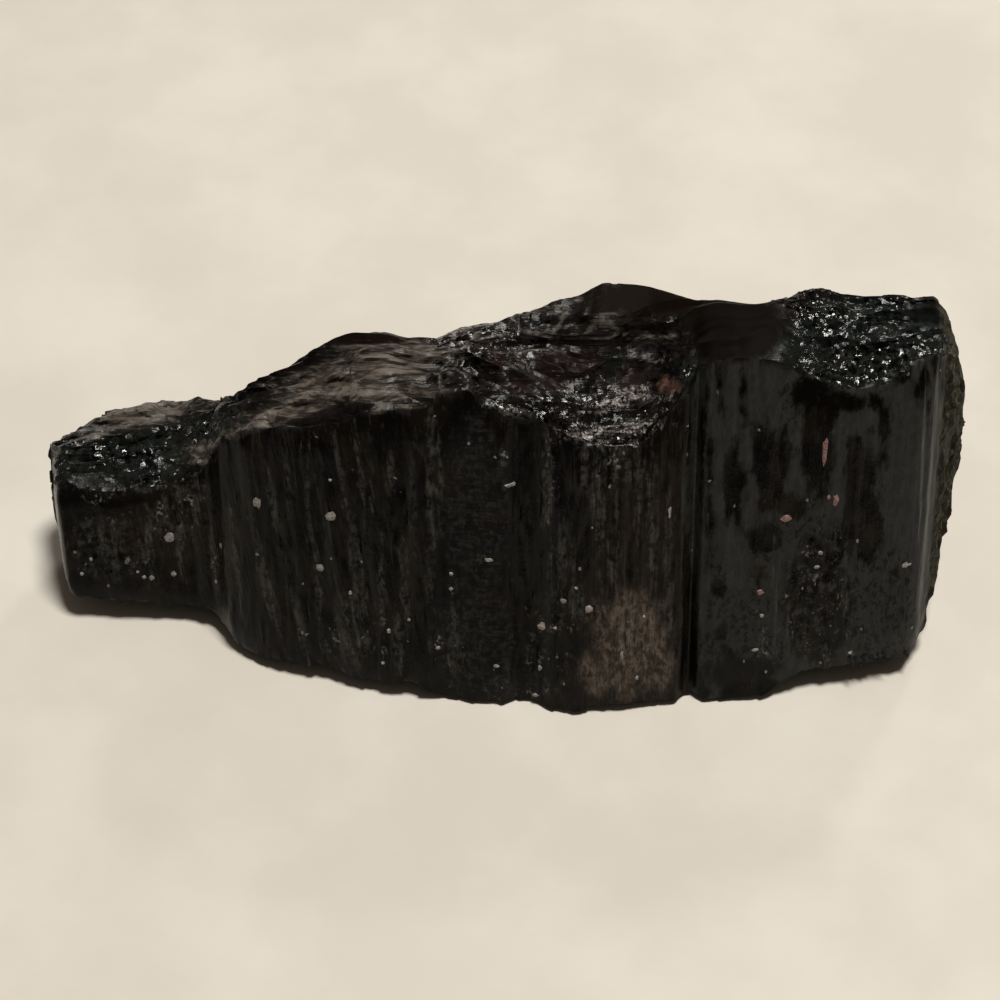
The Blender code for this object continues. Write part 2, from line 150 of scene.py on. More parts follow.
# Ledges that cross the broken top: where each lies between the rim (0) and the crest
# (1), and how high its riser stands.
LEDGES = (
    (((-48, 0.16), (-36, 0.15), (-29, 0.1), (-20, 0.09), (-6.6, 0.09), (-6.2, 0.12), (3, 0.1),
      (12, 0.12), (19, 0.08), (30, 0.14), (48, 0.14)),
     ((-48, 0.4), (-30, 0.5), (-25, 0.7), (-17, 1.5), (-10, 1.3), (-6.6, 2.6), (-6.2, 0.9),
      (4, 0.8), (12, 0.5), (18, 0.9), (21.5, 0.05), (28, 0.05), (34, 0.6), (48, 0.3))),
    (((-48, 0.34), (-38, 0.28), (-30, 0.3), (-20, 0.23), (-8, 0.2), (-3, 0.28), (6, 0.23),
      (14, 0.28), (20, 0.22), (33, 0.32), (48, 0.28)),
     ((-48, 0.9), (-34, 0.5), (-24, 1), (-14, 0.3), (-4, 1.2), (3, 0.5), (10, 1.3), (19, 0.4),
      (21.5, 0.05), (28, 0.1), (37, 1.1), (48, 0.4))),
    (((-48, 0.5), (-36, 0.44), (-28, 0.48), (-17, 0.38), (-7, 0.41), (-1, 0.44), (8, 0.4),
      (17, 0.46), (24, 0.38), (36, 0.48), (48, 0.42)),
     ((-48, 0.4), (-39, 1), (-28, 0.4), (-19, 1.1), (-9, 0.4), (-2, 1.5), (5, 0.5), (13, 1.4),
      (21, 0.1), (28, 0.1), (33, 0.9), (48, 0.5))),
    (((-48, 0.66), (-36, 0.6), (-26, 0.63), (-17, 0.57), (-7, 0.6), (-1, 0.62), (8, 0.57),
      (17, 0.64), (24, 0.55), (36, 0.64), (48, 0.58)),
     ((-48, 0.7), (-37, 0.4), (-24, 0.9), (-16, 0.5), (-8, 0.9), (0, 0.6), (8, 1.4), (16, 0.7),
      (21.5, 0.05), (27, 0.1), (31, 0.5), (40, 1), (48, 0.3))),
    (((-48, 0.82), (-32, 0.78), (-20, 0.74), (-10, 0.78), (-4, 0.76), (6, 0.74), (9, 0.76),
      (18, 0.8), (26, 0.72), (33, 0.8), (48, 0.76)),
     ((-48, 0.3), (-30, 0.6), (-18, 1.3), (-10, 0.6), (-4, 1), (4, 0.7), (9, 1.5), (17, 1.7),
      (21, 0.2), (27, 0.1), (32, 1), (38, 0.6), (48, 0.3))),
    (((-48, 0.93), (-30, 0.91), (-17, 0.88), (-8, 0.92), (3, 0.9), (9, 0.87), (19, 0.92),
      (26, 0.88), (34, 0.91), (48, 0.9)),
     ((-48, 0.2), (-26, 0.3), (-16, 0.9), (-10, 0.8), (-5, 0.3), (4, 0.6), (10, 1.2), (19, 0.6),
      (22, 0.1), (27, 0.1), (33, 0.8), (48, 0.2))),
)
RISER_RUN = 0.03
LEDGE_WANDER = 0.07
LEAST_TREAD = 0.02

# The broken top sags into a scoop in the middle and swells elsewhere.
TOP_SWELL = (
    (-48, 1.6), (-32, 1.8), (-24, 1.6), (-8, 1.4), (-4, 0.2), (4, -0.8), (12, -2.4), (18, -1.2),
    (21, 1.2), (34, 2), (44, 1.6), (48, 0.6),
)
TOP_ROUGH = (
    (-48, 0.45), (-30, 0.45), (-24, 0.3), (-8, 0.3), (-2, 0.5), (18, 0.5), (21, 0.16), (28, 0.22),
    (33, 0.55), (45, 0.45), (48.2, 0.2),
)
TOP_FACET = (1.4, 4.2)
TOP_BLOCK = (4.0, 11.0)
BLOCK_SIZE = 0.7

BACK_ROWS = (0.10, 0.27, 0.49, 0.73, 0.93)
SHOULDER = (0.34, 0.68, 0.92, 1.0, 1.0)
BACK_SWELL = ((-48, 0.1), (-20, 1.6), (5, 0.8), (20, 2), (45, 0.2), (48.2, 0))
BACK_FACET = (2.5, 7.0)
BACK_ROUGH = 0.6
BACK_FLUTE = 0.35
BACK_FLUTE_WIDTH = (0.7, 2.6)
BASE_ROWS = (0.10, 0.42, 0.72)
END_RELIEF = 0.45


def along(table, x):
    """The value of a table at x, straight between its points."""
    points = np.array(table)
    return np.interp(x, points[:, 0], points[:, 1])


def broken(random, x, spacing, size):
    """An uneven run of flat breaks: chance values at chance places, straight between."""
    places = [LEFT_END - 1.0]
    while places[-1] < RIGHT_END + 1.0:
        places.append(places[-1] + random.uniform(*spacing))
    values = random.uniform(-1.0, 1.0, len(places))
    return size * np.interp(x, places, values)


def strips(random):
    """Where the cross-sections stand, and how far the face is sunk at each of its rows."""
    places, sunk = [], []
    x = LEFT_END
    while x < RIGHT_END - STRIP_WIDTH[0]:
        width = min(random.uniform(*STRIP_WIDTH), RIGHT_END - x)
        relief = along(STRIP_RELIEF, x)
        level = relief * random.uniform(-1.0, 1.0)
        turn = relief * random.uniform(-0.6, 0.6)
        fade = np.array(FADES[random.randint(len(FADES))])
        inside = [(STRIP_EDGE, level - turn), (width - STRIP_EDGE, level + turn)]
        if width > WIDE_STRIP:
            middle = width * random.uniform(0.35, 0.65)
            inside.append((middle, level + 0.5 * relief * random.uniform(-1.0, 1.0)))
        inside.append((width, level + relief * random.uniform(*GROOVE)))
        for step, depth in inside:
            clear = min(abs(x + step - joint) for joint in JOINTS)
            if clear > 0.2 and x + step < RIGHT_END - 0.3:
                places.append(x + step)
                sunk.append(depth * fade)
        x += width
    for joint in (LEFT_END, RIGHT_END) + JOINTS:
        places.append(joint)
        sunk.append(np.zeros(len(FACE_ROWS)))
    order = np.argsort(places)
    return np.array(places)[order], np.array(sunk)[order].T


def face_rows(x, sunk, random):
    """The striated face, from the foot to just under the rim."""
    rim = along(RIM_HEIGHT, x)
    depth = along(FACE_DEPTH, x)
    clear = FOOT_CLEARANCE + (depth + 2.0 * RIM_CHIP) * math.sin(LEAN)
    foot = np.maximum(along(FOOT_HEIGHT, x), clear / math.cos(LEAN))
    rows = []
    for index, part in enumerate(FACE_ROWS):
        edge = max(0.0, 0.06 - part) / 0.06
        rough = broken(random, x, (1.5, 5.0), FACE_ROUGH)
        chip = edge * RIM_CHIP * (0.6 + broken(random, x, (1.0, 3.0), 0.4))
        rows.append((depth + sunk[index] + rough + chip, foot + part * (rim - foot)))
    return rows


def top_rows(x, sunk, random):
    """The broken top, from the rim back to the crest, with its ledges."""
    rim = along(RIM_HEIGHT, x) + broken(random, x, (1.0, 3.0), 0.35)
    front = along(FACE_DEPTH, x) + sunk[-1] + RIM_CHIP * (0.8 + broken(random, x, (1.0, 3.0), 0.6))
    crest = along(CREST_HEIGHT, x)
    back = along(CREST_DEPTH, x)
    swell = along(TOP_SWELL, x)
    rough = along(TOP_ROUGH, x)

    def point(across, height):
        base = rim + across * (crest - rim) + swell * 4.0 * across * (1.0 - across)
        return front + across * (back - front), base + height

    rows = [(front, rim)]
    reached = np.full(len(x), 0.02)
    for line, riser in LEDGES:
        place = along(line, x) + broken(random, x, (2.5, 7.0), LEDGE_WANDER)
        under = np.maximum(place - RISER_RUN, reached + LEAST_TREAD)
        place = np.maximum(place, under + RISER_RUN)
        reached = place
        height = along(riser, x) * (1.0 + broken(random, x, (2.5, 7.0), 0.9))
        low = rough * broken(random, x, TOP_FACET, 1.0) - 0.5 * height
        low += broken(random, x, TOP_BLOCK, BLOCK_SIZE) * np.minimum(1.0, 3.0 * rough)
        rows.append(point(under, low))
        rows.append(point(place, low + height))
    rows.append(point(np.ones(len(x)), 0.3 * rough * broken(random, x, TOP_FACET, 1.0)))
    return rows


def lowest_back(x):
    """Height up the striations at which the back meets the underside."""
    depth = along(BACK_DEPTH, x)
    return (along(LIFT, x) + BACK_CHAMFER + depth * math.sin(LEAN)) / math.cos(LEAN)


def back_rows(x, random):
    """The back, from under the crest down to just above the floor."""
    crest = along(CREST_HEIGHT, x)
    near = along(CREST_DEPTH, x)
    far = along(BACK_DEPTH, x)
    low = lowest_back(x)
    swell = along(BACK_SWELL, x)
    flute = broken(random, x, BACK_FLUTE_WIDTH, BACK_FLUTE)
    rows = []
    for part, share in zip(BACK_ROWS, SHOULDER):
        size = min(1.0, 4.0 * part)
        out = swell * math.sin(math.pi * part) + size * flute
        out += broken(random, x, BACK_FACET, size * BACK_ROUGH)
        rows.append((near + share * (far - near) + out, crest + part * (low - crest)))
    return rows


def base_rows(x, random):
    """The underside, from the back to the start of the slope up to the foot."""
    lift = along(LIFT, x)
    depth = along(BACK_DEPTH, x)
    back = depth * math.cos(LEAN) + lowest_back(x) * math.sin(LEAN) - BACK_CHAMFER
    face = along(FACE_DEPTH, x)
    front = face * math.cos(LEAN) + along(FOOT_HEIGHT, x) * math.sin(LEAN)
    front = np.minimum(front + BASE_SETBACK + broken(random, x, (2.0, 6.0), 1.2), back - 1.0)
    rows = []
    for part in BASE_ROWS + (1.0,):
        y = back + part * (front - back)
        z = lift * (1.0 + broken(random, x, (3.0, 8.0), 0.25))
        depth_there = y * math.cos(LEAN) - z * math.sin(LEAN)
        height_there = y * math.sin(LEAN) + z * math.cos(LEAN)
        rows.append((depth_there, height_there))
    return rows


def cross_sections(random):
    """Points of every cross-section, in x, d and s."""
    x, sunk = strips(random)
    rows = face_rows(x, sunk, random)
    rows += top_rows(x, sunk, random)
    rows += back_rows(x, random)
    rows += base_rows(x, random)
    grid = np.zeros((len(x), len(rows), 3))
    for index, (depth, height) in enumerate(rows):
        grid[:, index, 0] = x + along(SKEW, x) * (height - SKEW_ABOUT)
        grid[:, index, 1] = depth
        grid[:, index, 2] = height
    return grid


# ------------------------------------------------------------------ the camera's picture
# Features are placed where the picture shows them, in its own frame of 1000 x 1000.
PICTURE = 1000.0
ELEVATION = math.radians(50.0)
DISTANCE = 260.0
SENSOR = 36.0
LENS = 93.6
TARGET = np.array([-CENTRE_X, 9.9 - CENTRE_Y, 23.8])
TO_CAMERA = np.array([0.0, -math.cos(ELEVATION), math.sin(ELEVATION)])
PICTURE_UP = np.array([0.0, math.sin(ELEVATION), math.cos(ELEVATION)])
FOCAL = LENS / SENSOR * PICTURE


def to_frame(grid):
    """Crystal axes to the frame, still in millimetres."""
    placed = grid[..., 1:2] * INTO_SLAB + grid[..., 2:3] * UP_STRIATIONS
    placed[..., 0] = grid[..., 0]
    return placed - np.array([CENTRE_X, CENTRE_Y, 0.0])


def in_picture(points):
    """Where points of the frame, in millimetres, appear in the picture."""
    away = points - (TARGET + TO_CAMERA * DISTANCE)
    depth = -(away @ TO_CAMERA)
    across = PICTURE / 2 + FOCAL * away[..., 0] / depth
    down = PICTURE / 2 - FOCAL * (away @ PICTURE_UP) / depth
    return across, down


# ------------------------------------------------------------------------ chance fields
# Odd multipliers that mix the numbers of a cell.
MIX_ACROSS, MIX_DEPTH, MIX_UP, MIX_SALT = 73856093, 19349663, 83492791, 2654435761
MIX_AGAIN = ((15, 2246822519), (13, 3266489917))
BITS_32 = 0xFFFFFFFF
BITS_24 = 0xFFFFFF


def chance(cell, salt):
    """A value from 0 to 1 for each whole-number cell, the same on every run."""
    mixed = (cell[..., 0] * MIX_ACROSS) ^ (cell[..., 1] * MIX_DEPTH) ^ (cell[..., 2] * MIX_UP)
    mixed = (mixed ^ (salt * MIX_SALT)) & BITS_32
    for shift, multiplier in MIX_AGAIN:
        mixed = ((mixed ^ (mixed >> shift)) * multiplier) & BITS_32
    return ((mixed ^ (mixed >> 16)) & BITS_24) / (BITS_24 + 1.0)


def smooth_noise(points, size, salt):
    """Soft noise from -1 to 1, with lumps of the given size along each axis."""
    place = points / np.array(size)
    cell = np.floor(place).astype(np.int64)
    part = place - cell
    part = part * part * (3.0 - 2.0 * part)
    total = np.zeros(points.shape[:-1])
    for corner in np.ndindex(2, 2, 2):
        weight = np.ones(points.shape[:-1])
        for axis in range(3):
            share = part[..., axis]
            weight = weight * (share if corner[axis] else 1.0 - share)
        total += weight * chance(cell + np.array(corner), salt)
    return 2.0 * total - 1.0


def chips(points, size, tilt, salt):
    """Flat chips: each cell has its own level and its own slope, with a step between."""
    size = np.array(size)
    place = points / size
    cell = np.floor(place).astype(np.int64)
    nearest = np.full(points.shape[:-1], 1e9)
    height = np.zeros(points.shape[:-1])
    for step in np.ndindex(3, 3, 3):
        near = cell + np.array(step) - 1
        spot = near + np.stack([chance(near, salt + k) for k in range(3)], axis=-1)
        gap = place - spot
        distance = (gap ** 2).sum(axis=-1)
        slope = np.stack([chance(near, salt + 3 + k) - 0.5 for k in range(3)], axis=-1)
        level = chance(near, salt + 6) - 0.5
        closer = distance < nearest
        nearest = np.where(closer, distance, nearest)
        height = np.where(closer, tilt * (gap * slope).sum(axis=-1) + level, height)
    return height


def terraces(field, sharp):
    """A field cut into level steps with narrow risers between them."""
    level = np.floor(field)
    part = field - level
    return level + np.clip((part - 0.5) * sharp + 0.5, 0.0, 1.0)


def spots(across, down, shapes):
    """How far inside any of the ellipses, in pixels of the picture (negative outside)."""
    field = np.full(across.shape, UNMARKED)
    for centre_across, centre_down, wide, high, *turned in shapes:
        turn = turned[0] if turned else 0.0
        right, below = across - centre_across, down - centre_down
        along_width = right * math.cos(turn) - below * math.sin(turn)
        along_height = right * math.sin(turn) + below * math.cos(turn)
        reach = np.hypot(along_width / wide, along_height / high)
        field = np.maximum(field, (1.0 - reach) * min(wide, high))
    return field


# ------------------------------------------------------------- what the picture shows
# Ellipses in pixels of the picture, each (across, down, half width, half height) and a
# turn where it has one. A turn above nought leans the foot right and lifts the right end.
MARKS = {
    "film": (
        (812, 500, 128, 190), (712, 530, 19, 170), (912, 480, 30, 160, -0.03), (745, 400, 56, 56),
        (880, 610, 50, 62),
    ),
    "pits": (
        (721, 390, 4, 20), (742, 394, 5, 26), (735, 485, 12, 40), (773, 470, 16, 42, -0.1),
        (760, 452, 8, 24), (766, 536, 19, 17), (817, 434, 19, 62), (812, 392, 22, 16),
        (846, 402, 40, 11), (858, 470, 17, 46), (864, 520, 20, 44), (846, 540, 12, 24),
        (884, 436, 4, 30), (902, 374, 8, 18), (926, 392, 7, 28), (710, 490, 6, 58),
        (720, 631, 7, 9), (718, 588, 9, 8, 0.3), (758, 575, 4, 9), (738, 672, 38, 15),
        (893, 571, 5, 4), (790, 505, 16, 14), (819, 600, 36, 70), (705, 450, 3, 60),
    ),
    "granular": (
        (819, 600, 38, 74), (768, 630, 10, 40), (549, 478, 8, 60), (548, 660, 26, 36),
        (500, 690, 20, 14), (622, 466, 34, 16), (560, 610, 34, 18), (600, 608, 26, 16),
        (455, 640, 14, 40), (180, 515, 34, 26), (110, 545, 42, 36), (132, 487, 74, 9),
        (185, 492, 30, 16), (350, 640, 30, 24),
    ),
    "glitter": (
        (118, 452, 34, 12, 0.1), (196, 428, 22, 7, 0.1), (150, 481, 20, 6), (76, 466, 12, 3),
        (511, 411, 30, 6, -0.28), (520, 414, 34, 3, -0.28), (606, 434, 56, 8, 0.05),
        (688, 372, 11, 11), (612, 448, 26, 8), (459, 379, 6, 4), (868, 364, 48, 19),
        (905, 352, 32, 13), (850, 382, 24, 10), (820, 311, 28, 12), (890, 306, 24, 4),
        (822, 368, 24, 16), (671, 318, 20, 6), (600, 376, 12, 4), (922, 352, 16, 12),
        (846, 396, 34, 9), (560, 424, 14, 6, 0.3), (640, 410, 24, 4),
    ),
    "sparse": (
        (858, 335, 82, 58), (848, 394, 46, 18), (600, 418, 92, 32), (130, 455, 96, 36),
        (614, 458, 40, 16), (520, 430, 40, 14), (480, 345, 70, 26), (100, 478, 60, 16),
    ),
    "brown": (
        (135, 488, 84, 10), (180, 535, 90, 30), (628, 640, 50, 74), (640, 560, 58, 150),
        (600, 680, 34, 34), (675, 560, 22, 170),
    ),
    "glow": ((632, 642, 40, 54), (606, 672, 30, 28), (652, 660, 24, 40)),
    "hatched": ((476, 510, 34, 96), (478, 640, 46, 52)),
    "streak": (
        (308, 500, 3, 40), (337, 455, 4, 34, 0.18), (345, 500, 4, 40, 0.22),
        (357, 570, 7, 66, 0.12), (350, 630, 12, 46, 0.1), (268, 590, 7, 50, 0.28),
        (256, 540, 4, 30, 0.2), (391, 474, 5, 24), (405, 582, 6, 60, 0.03), (430, 530, 5, 120),
        (371, 512, 3, 30), (288, 480, 3, 44, 0.05), (236, 560, 4, 52, 0.1),
        (318, 590, 4, 60, 0.08), (300, 625, 5, 36, 0.25), (398, 640, 8, 32), (453, 640, 6, 46),
        (548, 486, 6, 54), (596, 520, 3, 60, 0.08), (616, 500, 3, 60, 0.05), (652, 520, 6, 80),
        (668, 560, 5, 90), (706, 500, 3, 110), (180, 540, 5, 40), (196, 500, 4, 30),
        (150, 545, 5, 36, 0.05), (115, 550, 4, 30), (838, 460, 3, 34), (831, 530, 3, 20),
        (178, 494, 3, 14), (166, 510, 3, 14), (504, 462, 14, 3, -0.4), (550, 556, 3, 56),
        (572, 560, 3, 50, 0.1), (606, 545, 3, 34, 0.15), (480, 560, 12, 3, 0.3),
        (250, 430, 22, 5, 0.45), (543, 500, 16, 3, 0.1), (413, 500, 4, 60), (382, 590, 5, 50),
        (440, 470, 4, 50), (775, 600, 5, 60), (788, 640, 4, 36), (845, 600, 3, 44),
        (704, 590, 3, 70), (638, 490, 5, 50), (601, 500, 6, 60), (585, 470, 5, 30),
        (562, 560, 7, 44), (576, 600, 9, 18), (613, 566, 6, 34), (215, 560, 4, 40, 0.1),
        (100, 540, 5, 24), (272, 500, 5, 44, 0.2), (362, 480, 4, 40, 0.15),
    ),
    # Painted highlights: thin pale lines down the rounded right edge and the left edge, where the
    # edge catches the light.
    "edge": (
        (928, 506, 2.2, 142, -0.072), (922, 470, 1.4, 96, -0.045), (61, 536, 2.6, 52, 0.14),
        (936, 400, 2, 44, -0.05),
    ),
    "dark": (
        (526, 545, 10, 64), (562, 530, 12, 78), (370, 550, 13, 66, 0.03), (694, 550, 5, 170),
        (548, 620, 5, 40), (606, 470, 8, 34), (240, 500, 13, 46), (290, 560, 9, 72, 0.15),
        (330, 560, 7, 50, 0.05), (205, 560, 9, 36), (392, 540, 6, 50), (322, 470, 8, 40),
        (300, 450, 30, 12), (250, 620, 9, 40, 0.28), (418, 600, 4, 60), (585, 530, 5, 70, 0.05),
    ),
    # Whitish crust; along the rim and in spots on the face the same colour also stands as painted
    # glints.
    "whitish": (
        (624, 399, 30, 9, 0.3), (604, 410, 20, 6), (457, 331, 17, 5, 0.2), (570, 386, 9, 7),
        (660, 398, 24, 5, 0.1), (510, 411, 30, 4, -0.28), (606, 433, 54, 8, 0.05),
        (612, 446, 34, 4), (660, 425, 14, 3), (640, 424, 30, 5, 0.1), (578, 428, 16, 5, 0.2),
        (547, 455, 4, 16), (548, 492, 4, 18), (503, 453, 9, 4, -0.5), (511, 484, 12, 3, 0.15),
        (614, 462, 6, 10), (556, 629, 22, 6), (540, 660, 6, 8), (534, 692, 14, 4),
        (496, 667, 7, 3, 0.3), (548, 520, 3, 30), (384, 650, 4, 14), (384, 622, 3, 8),
        (437, 640, 8, 6), (338, 640, 5, 8), (176, 489, 12, 4), (98, 500, 10, 6), (160, 512, 6, 12),
        (166, 534, 5, 8), (128, 560, 8, 6), (188, 500, 9, 7), (138, 562, 10, 4),
        (214, 560, 5, 18, 0.1), (806, 552, 10, 5), (816, 575, 9, 6), (764, 634, 6, 12),
        (800, 632, 14, 4), (760, 654, 8, 4), (850, 652, 8, 4), (838, 600, 5, 14),
        (787, 600, 4, 16),
    ),
    "rosy": ((669, 386, 16, 12),),
    # Pale lamellae of the broken top: real layering, with their paleness a painted sheen where the
    # layers catch the light.
    "lamella_sheen": (
        (300, 404, 56, 11, 0.34), (385, 392, 58, 10), (345, 372, 74, 14, 0.2), (400, 362, 46, 14),
        (420, 352, 34, 8), (250, 428, 26, 9, 0.4), (385, 350, 40, 8), (130, 420, 60, 12, 0.2),
        (215, 448, 32, 10, 0.2),
    ),
    "calm": (
        (640, 298, 68, 18, -0.08), (738, 328, 50, 36), (376, 341, 38, 10), (930, 315, 22, 14),
        (720, 345, 30, 20), (622, 306, 42, 12), (88, 481, 14, 5), (120, 485, 9, 4),
    ),
    "green": (
        (868, 345, 86, 54), (120, 455, 82, 32), (208, 424, 30, 12), (690, 372, 16, 14),
        (505, 411, 26, 7, -0.28), (612, 362, 14, 12), (302, 433, 16, 7),
    ),
    "maroon": (
        (551, 384, 14, 12), (497, 358, 16, 12), (560, 370, 30, 8), (632, 376, 18, 8),
        (520, 386, 20, 10), (570, 362, 42, 14),
    ),
    # Raised plates at the ledge edges of the broken top; their pale colour is a painted highlight
    # where the edges catch the light.
    "plate_highlight": (
        (268, 418, 22, 6, 0.6), (300, 401, 22, 4, 0.4), (338, 395, 32, 4, 0.08), (385, 394, 30, 4),
        (352, 390, 14, 6), (390, 354, 27, 4, 0.08), (387, 371, 17, 4), (437, 354, 12, 3, 0.1),
        (417, 380, 24, 1.8, 0.22), (381, 409, 12, 5, 0.3), (409, 408, 20, 2, -0.1),
        (559, 325, 2.6, 19, -0.6), (600, 316, 20, 3), (602, 326, 17, 3), (604, 336, 20, 3),
        (652, 337, 25, 1.6, 0.05), (648, 360, 19, 2), (563, 306, 26, 2, 0.25),
        (460, 360, 1.6, 24, -0.62), (464, 347, 1.6, 20, -0.8), (490, 338, 20, 1.4, 0.25),
        (528, 351, 24, 1.6), (453, 393, 16, 1.6), (440, 384, 1.6, 9, 0.1),
        (540, 335, 22, 1.4, -0.1), (130, 412, 40, 4, 0.25), (170, 404, 24, 4, -0.05),
        (228, 442, 24, 3, 0.3), (100, 436, 22, 3, 0.4), (205, 462, 18, 3, 0.1),
        (648, 425, 30, 1.6, 0.05),
    ),
    "worn_film": (
        (742, 640, 50, 50), (884, 606, 44, 60), (768, 590, 22, 70), (716, 600, 14, 60),
        (800, 520, 30, 30), (790, 400, 14, 30),
    ),
    "umber": (
        (640, 297, 66, 18, -0.08), (376, 341, 36, 9), (560, 300, 30, 8, 0.3), (622, 306, 42, 11),
    ),
    # Brown layering across the middle of the top, its paler bands partly a painted sheen of lit
    # ledge edges.
    "layered_sheen": (
        (600, 330, 40, 18), (550, 325, 34, 14, 0.5), (480, 350, 44, 16, 0.3), (640, 346, 56, 18),
        (540, 355, 70, 14), (620, 368, 50, 10), (500, 330, 50, 10, 0.15), (520, 385, 60, 14),
        (600, 395, 30, 8),
    ),
}

# Pale grains held in the crystal: (across, down, half width in mm, half height in mm).
PALE_GRAINS = (
    (170, 538, 0.62, 0.72), (257, 503, 0.5, 0.66), (332, 516, 0.58, 0.56), (320, 568, 0.52, 0.52),
    (221, 545, 0.44, 0.42), (144, 577, 0.26, 0.26), (152, 578, 0.34, 0.34), (174, 574, 0.32, 0.38),
    (91, 559, 0.22, 0.26), (216, 582, 0.2, 0.26), (138, 572, 0.2, 0.2), (82, 574, 0.22, 0.26),
    (451, 574, 0.24, 0.26), (451, 589, 0.22, 0.26), (350, 593, 0.24, 0.3), (409, 620, 0.26, 0.26),
    (438, 648, 0.3, 0.26), (489, 560, 0.5, 0.26), (496, 666, 0.36, 0.24), (511, 485, 0.66, 0.28),
    (389, 631, 0.24, 0.34), (383, 663, 0.24, 0.24), (563, 601, 0.34, 0.3), (576, 588, 0.2, 0.2),
    (535, 695, 0.4, 0.3), (622, 655, 0.22, 0.5), (637, 678, 0.2, 0.34), (644, 617, 0.2, 0.24),
    (762, 616, 0.3, 0.3), (820, 553, 0.42, 0.26), (817, 567, 0.4, 0.22), (906, 565, 0.6, 0.36),
    (850, 653, 0.3, 0.2), (755, 650, 0.4, 0.22), (540, 668, 0.22, 0.4), (330, 480, 0.2, 0.2),
)
PEARLY_GRAINS = (
    (543, 627, 0.62, 0.58), (588, 609, 0.48, 0.52), (670, 512, 0.18, 0.8), (555, 628, 0.24, 0.2),
)
ROSE_GRAINS = (
    (825, 452, 0.34, 1.9), (836, 500, 0.32, 0.8), (786, 518, 0.72, 0.42), (760, 592, 0.42, 0.42),
    (829, 497, 0.2, 0.3),
)

# ------------------------------------------------------------------- the fine surface
# Spacing of its points: along the slab, then up each side of the ring, in millimetres.
FINE_ACROSS = 0.22
FINE_FACE = 0.60
FINE_TOP = 0.25
FINE_BACK = 0.47
FINE_BASE = 1.60

RIM_ROW = len(FACE_ROWS)
CREST_ROW = RIM_ROW + 2 * len(LEDGES) + 1
BASE_ROW = CREST_ROW + len(BACK_ROWS)
RING_END = BASE_ROW + len(BASE_ROWS) + 1
SIDE_STARTS = 44.9
LEFT_END_STARTS = -48.1
CAP_RINGS = (0.93, 0.86, 0.79, 0.71, 0.63, 0.55, 0.46, 0.37, 0.27, 0.16, 0.06)
LEFT_BROKEN = 0.35
RIGHT_BROKEN = 0.8
UNMARKED = -40.0
SHARP_FROM = math.radians(24.0)

# Passes of smoothing: along the slab everywhere, along it at crest and foot, up the face.
ALL_PASSES = 5
EDGE_PASSES = 18
FACE_PASSES = 6

# Kinds of chip: size in millimetres along x, d and s, how much they tilt, and their salt.
RIM_CHIPS = ((1.4, 1.5, 1.2), 0.6, 840)
LONG_SPLINTERS = ((1.1, 2.5, 9.0), 1.2, 100)
SLIVERS = ((0.45, 2.0, 4.0), 1.3, 200)
FLAKES = ((4.5, 1.5, 2.5), 1.6, 400)
FLECKS = ((1.5, 0.8, 0.9), 1.8, 500)
GRIT = ((0.8, 0.6, 0.6), 2.0, 600)
CAP_FLAKES = ((9.0, 2.6, 3.4), 1.3, 950)
CAP_FLECKS = ((9.0, 1.1, 1.3), 1.6, 960)

# How high each kind of relief stands: in millimetres, or as a share of the cage's table.
SPLINTER_RELIEF = 0.50
SLIVER_RELIEF = 0.34
STRIA_RELIEF = 0.05
THREAD_RELIEF = 0.035
TOP_FLAKES = 0.60
TOP_FLECKS = 0.24
TOP_GRIT = 0.07
TOP_STEPS = (0.15, 0.55)
PLATE_RELIEF = 0.22
BACK_STRIAE = 0.9
BACK_FLAKES = 0.40
BACK_FLECKS = 0.10
EDGE_FLECKS = 0.30
FACE_GRIT = 0.07
PIT_DEPTH = 0.07
SIDE_FLAKES = 0.50
SIDE_FLECKS = 0.30
BASE_WEAR = 0.075
CAP_FLAKE_RELIEF = 0.55
CAP_LUMP_RELIEF = 0.30
CAP_FLECK_RELIEF = 0.22
EDGE_WIDTH = 0.12
RIM_CHIP_ROWS = 0.20
RIM_WAVE_ROWS = 0.45
WANDER = 0.35


def cut_finer(values, count_of):
    """Places along a cage direction: (interval, share) for each finer step."""
    interval, share = [], []
    for index, gap in enumerate(np.diff(values)):
        count = count_of(index, gap)
        for k in range(count):
            interval.append(index)
            share.append(k / count)
    interval.append(len(values) - 2)
    share.append(1.0)
    return np.array(interval), np.array(share)


def fine_grid(cage):
    """The cage cut finer, straight between its points, and each ring's row number."""
    ring = np.concatenate([cage, cage[:, :1]], axis=1)
    length = np.linalg.norm(np.diff(ring, axis=1), axis=2).mean(axis=0)

    def across_count(index, gap):
        return max(1, int(round(gap / FINE_ACROSS)))

    def row_count(index, gap):
        fine = FINE_BASE
        for end, size in ((BASE_ROW, FINE_BACK), (CREST_ROW, FINE_TOP), (RIM_ROW, FINE_FACE)):
            if index < end:
                fine = size
        return max(1, int(round(length[index] / fine)))

    i, u = cut_finer(cage[:, :, 0].mean(axis=1), across_count)
    j, v = cut_finer(np.arange(ring.shape[1]), row_count)
    j, v = j[:-1], v[:-1]
    up = v[None, :, None]
    near = ring[i][:, j] * (1 - up) + ring[i][:, j + 1] * up
    far = ring[i + 1][:, j] * (1 - up) + ring[i + 1][:, j + 1] * up
    grid = near * (1 - u)[:, None, None] + far * u[:, None, None]
    return grid, j + v


def grid_normals(grid):
    """Outward normals of a grid that is closed around its rings."""
    along_x = np.gradient(grid, axis=0)
    around = (np.roll(grid, -1, axis=1) - np.roll(grid, 1, axis=1)) / 2
    normal = np.cross(along_x, around)
    normal /= np.linalg.norm(normal, axis=2, keepdims=True) + 1e-9
    centre = grid.mean(axis=1, keepdims=True)
    if ((grid - centre) * normal).sum() < 0:
        normal = -normal
    return normal


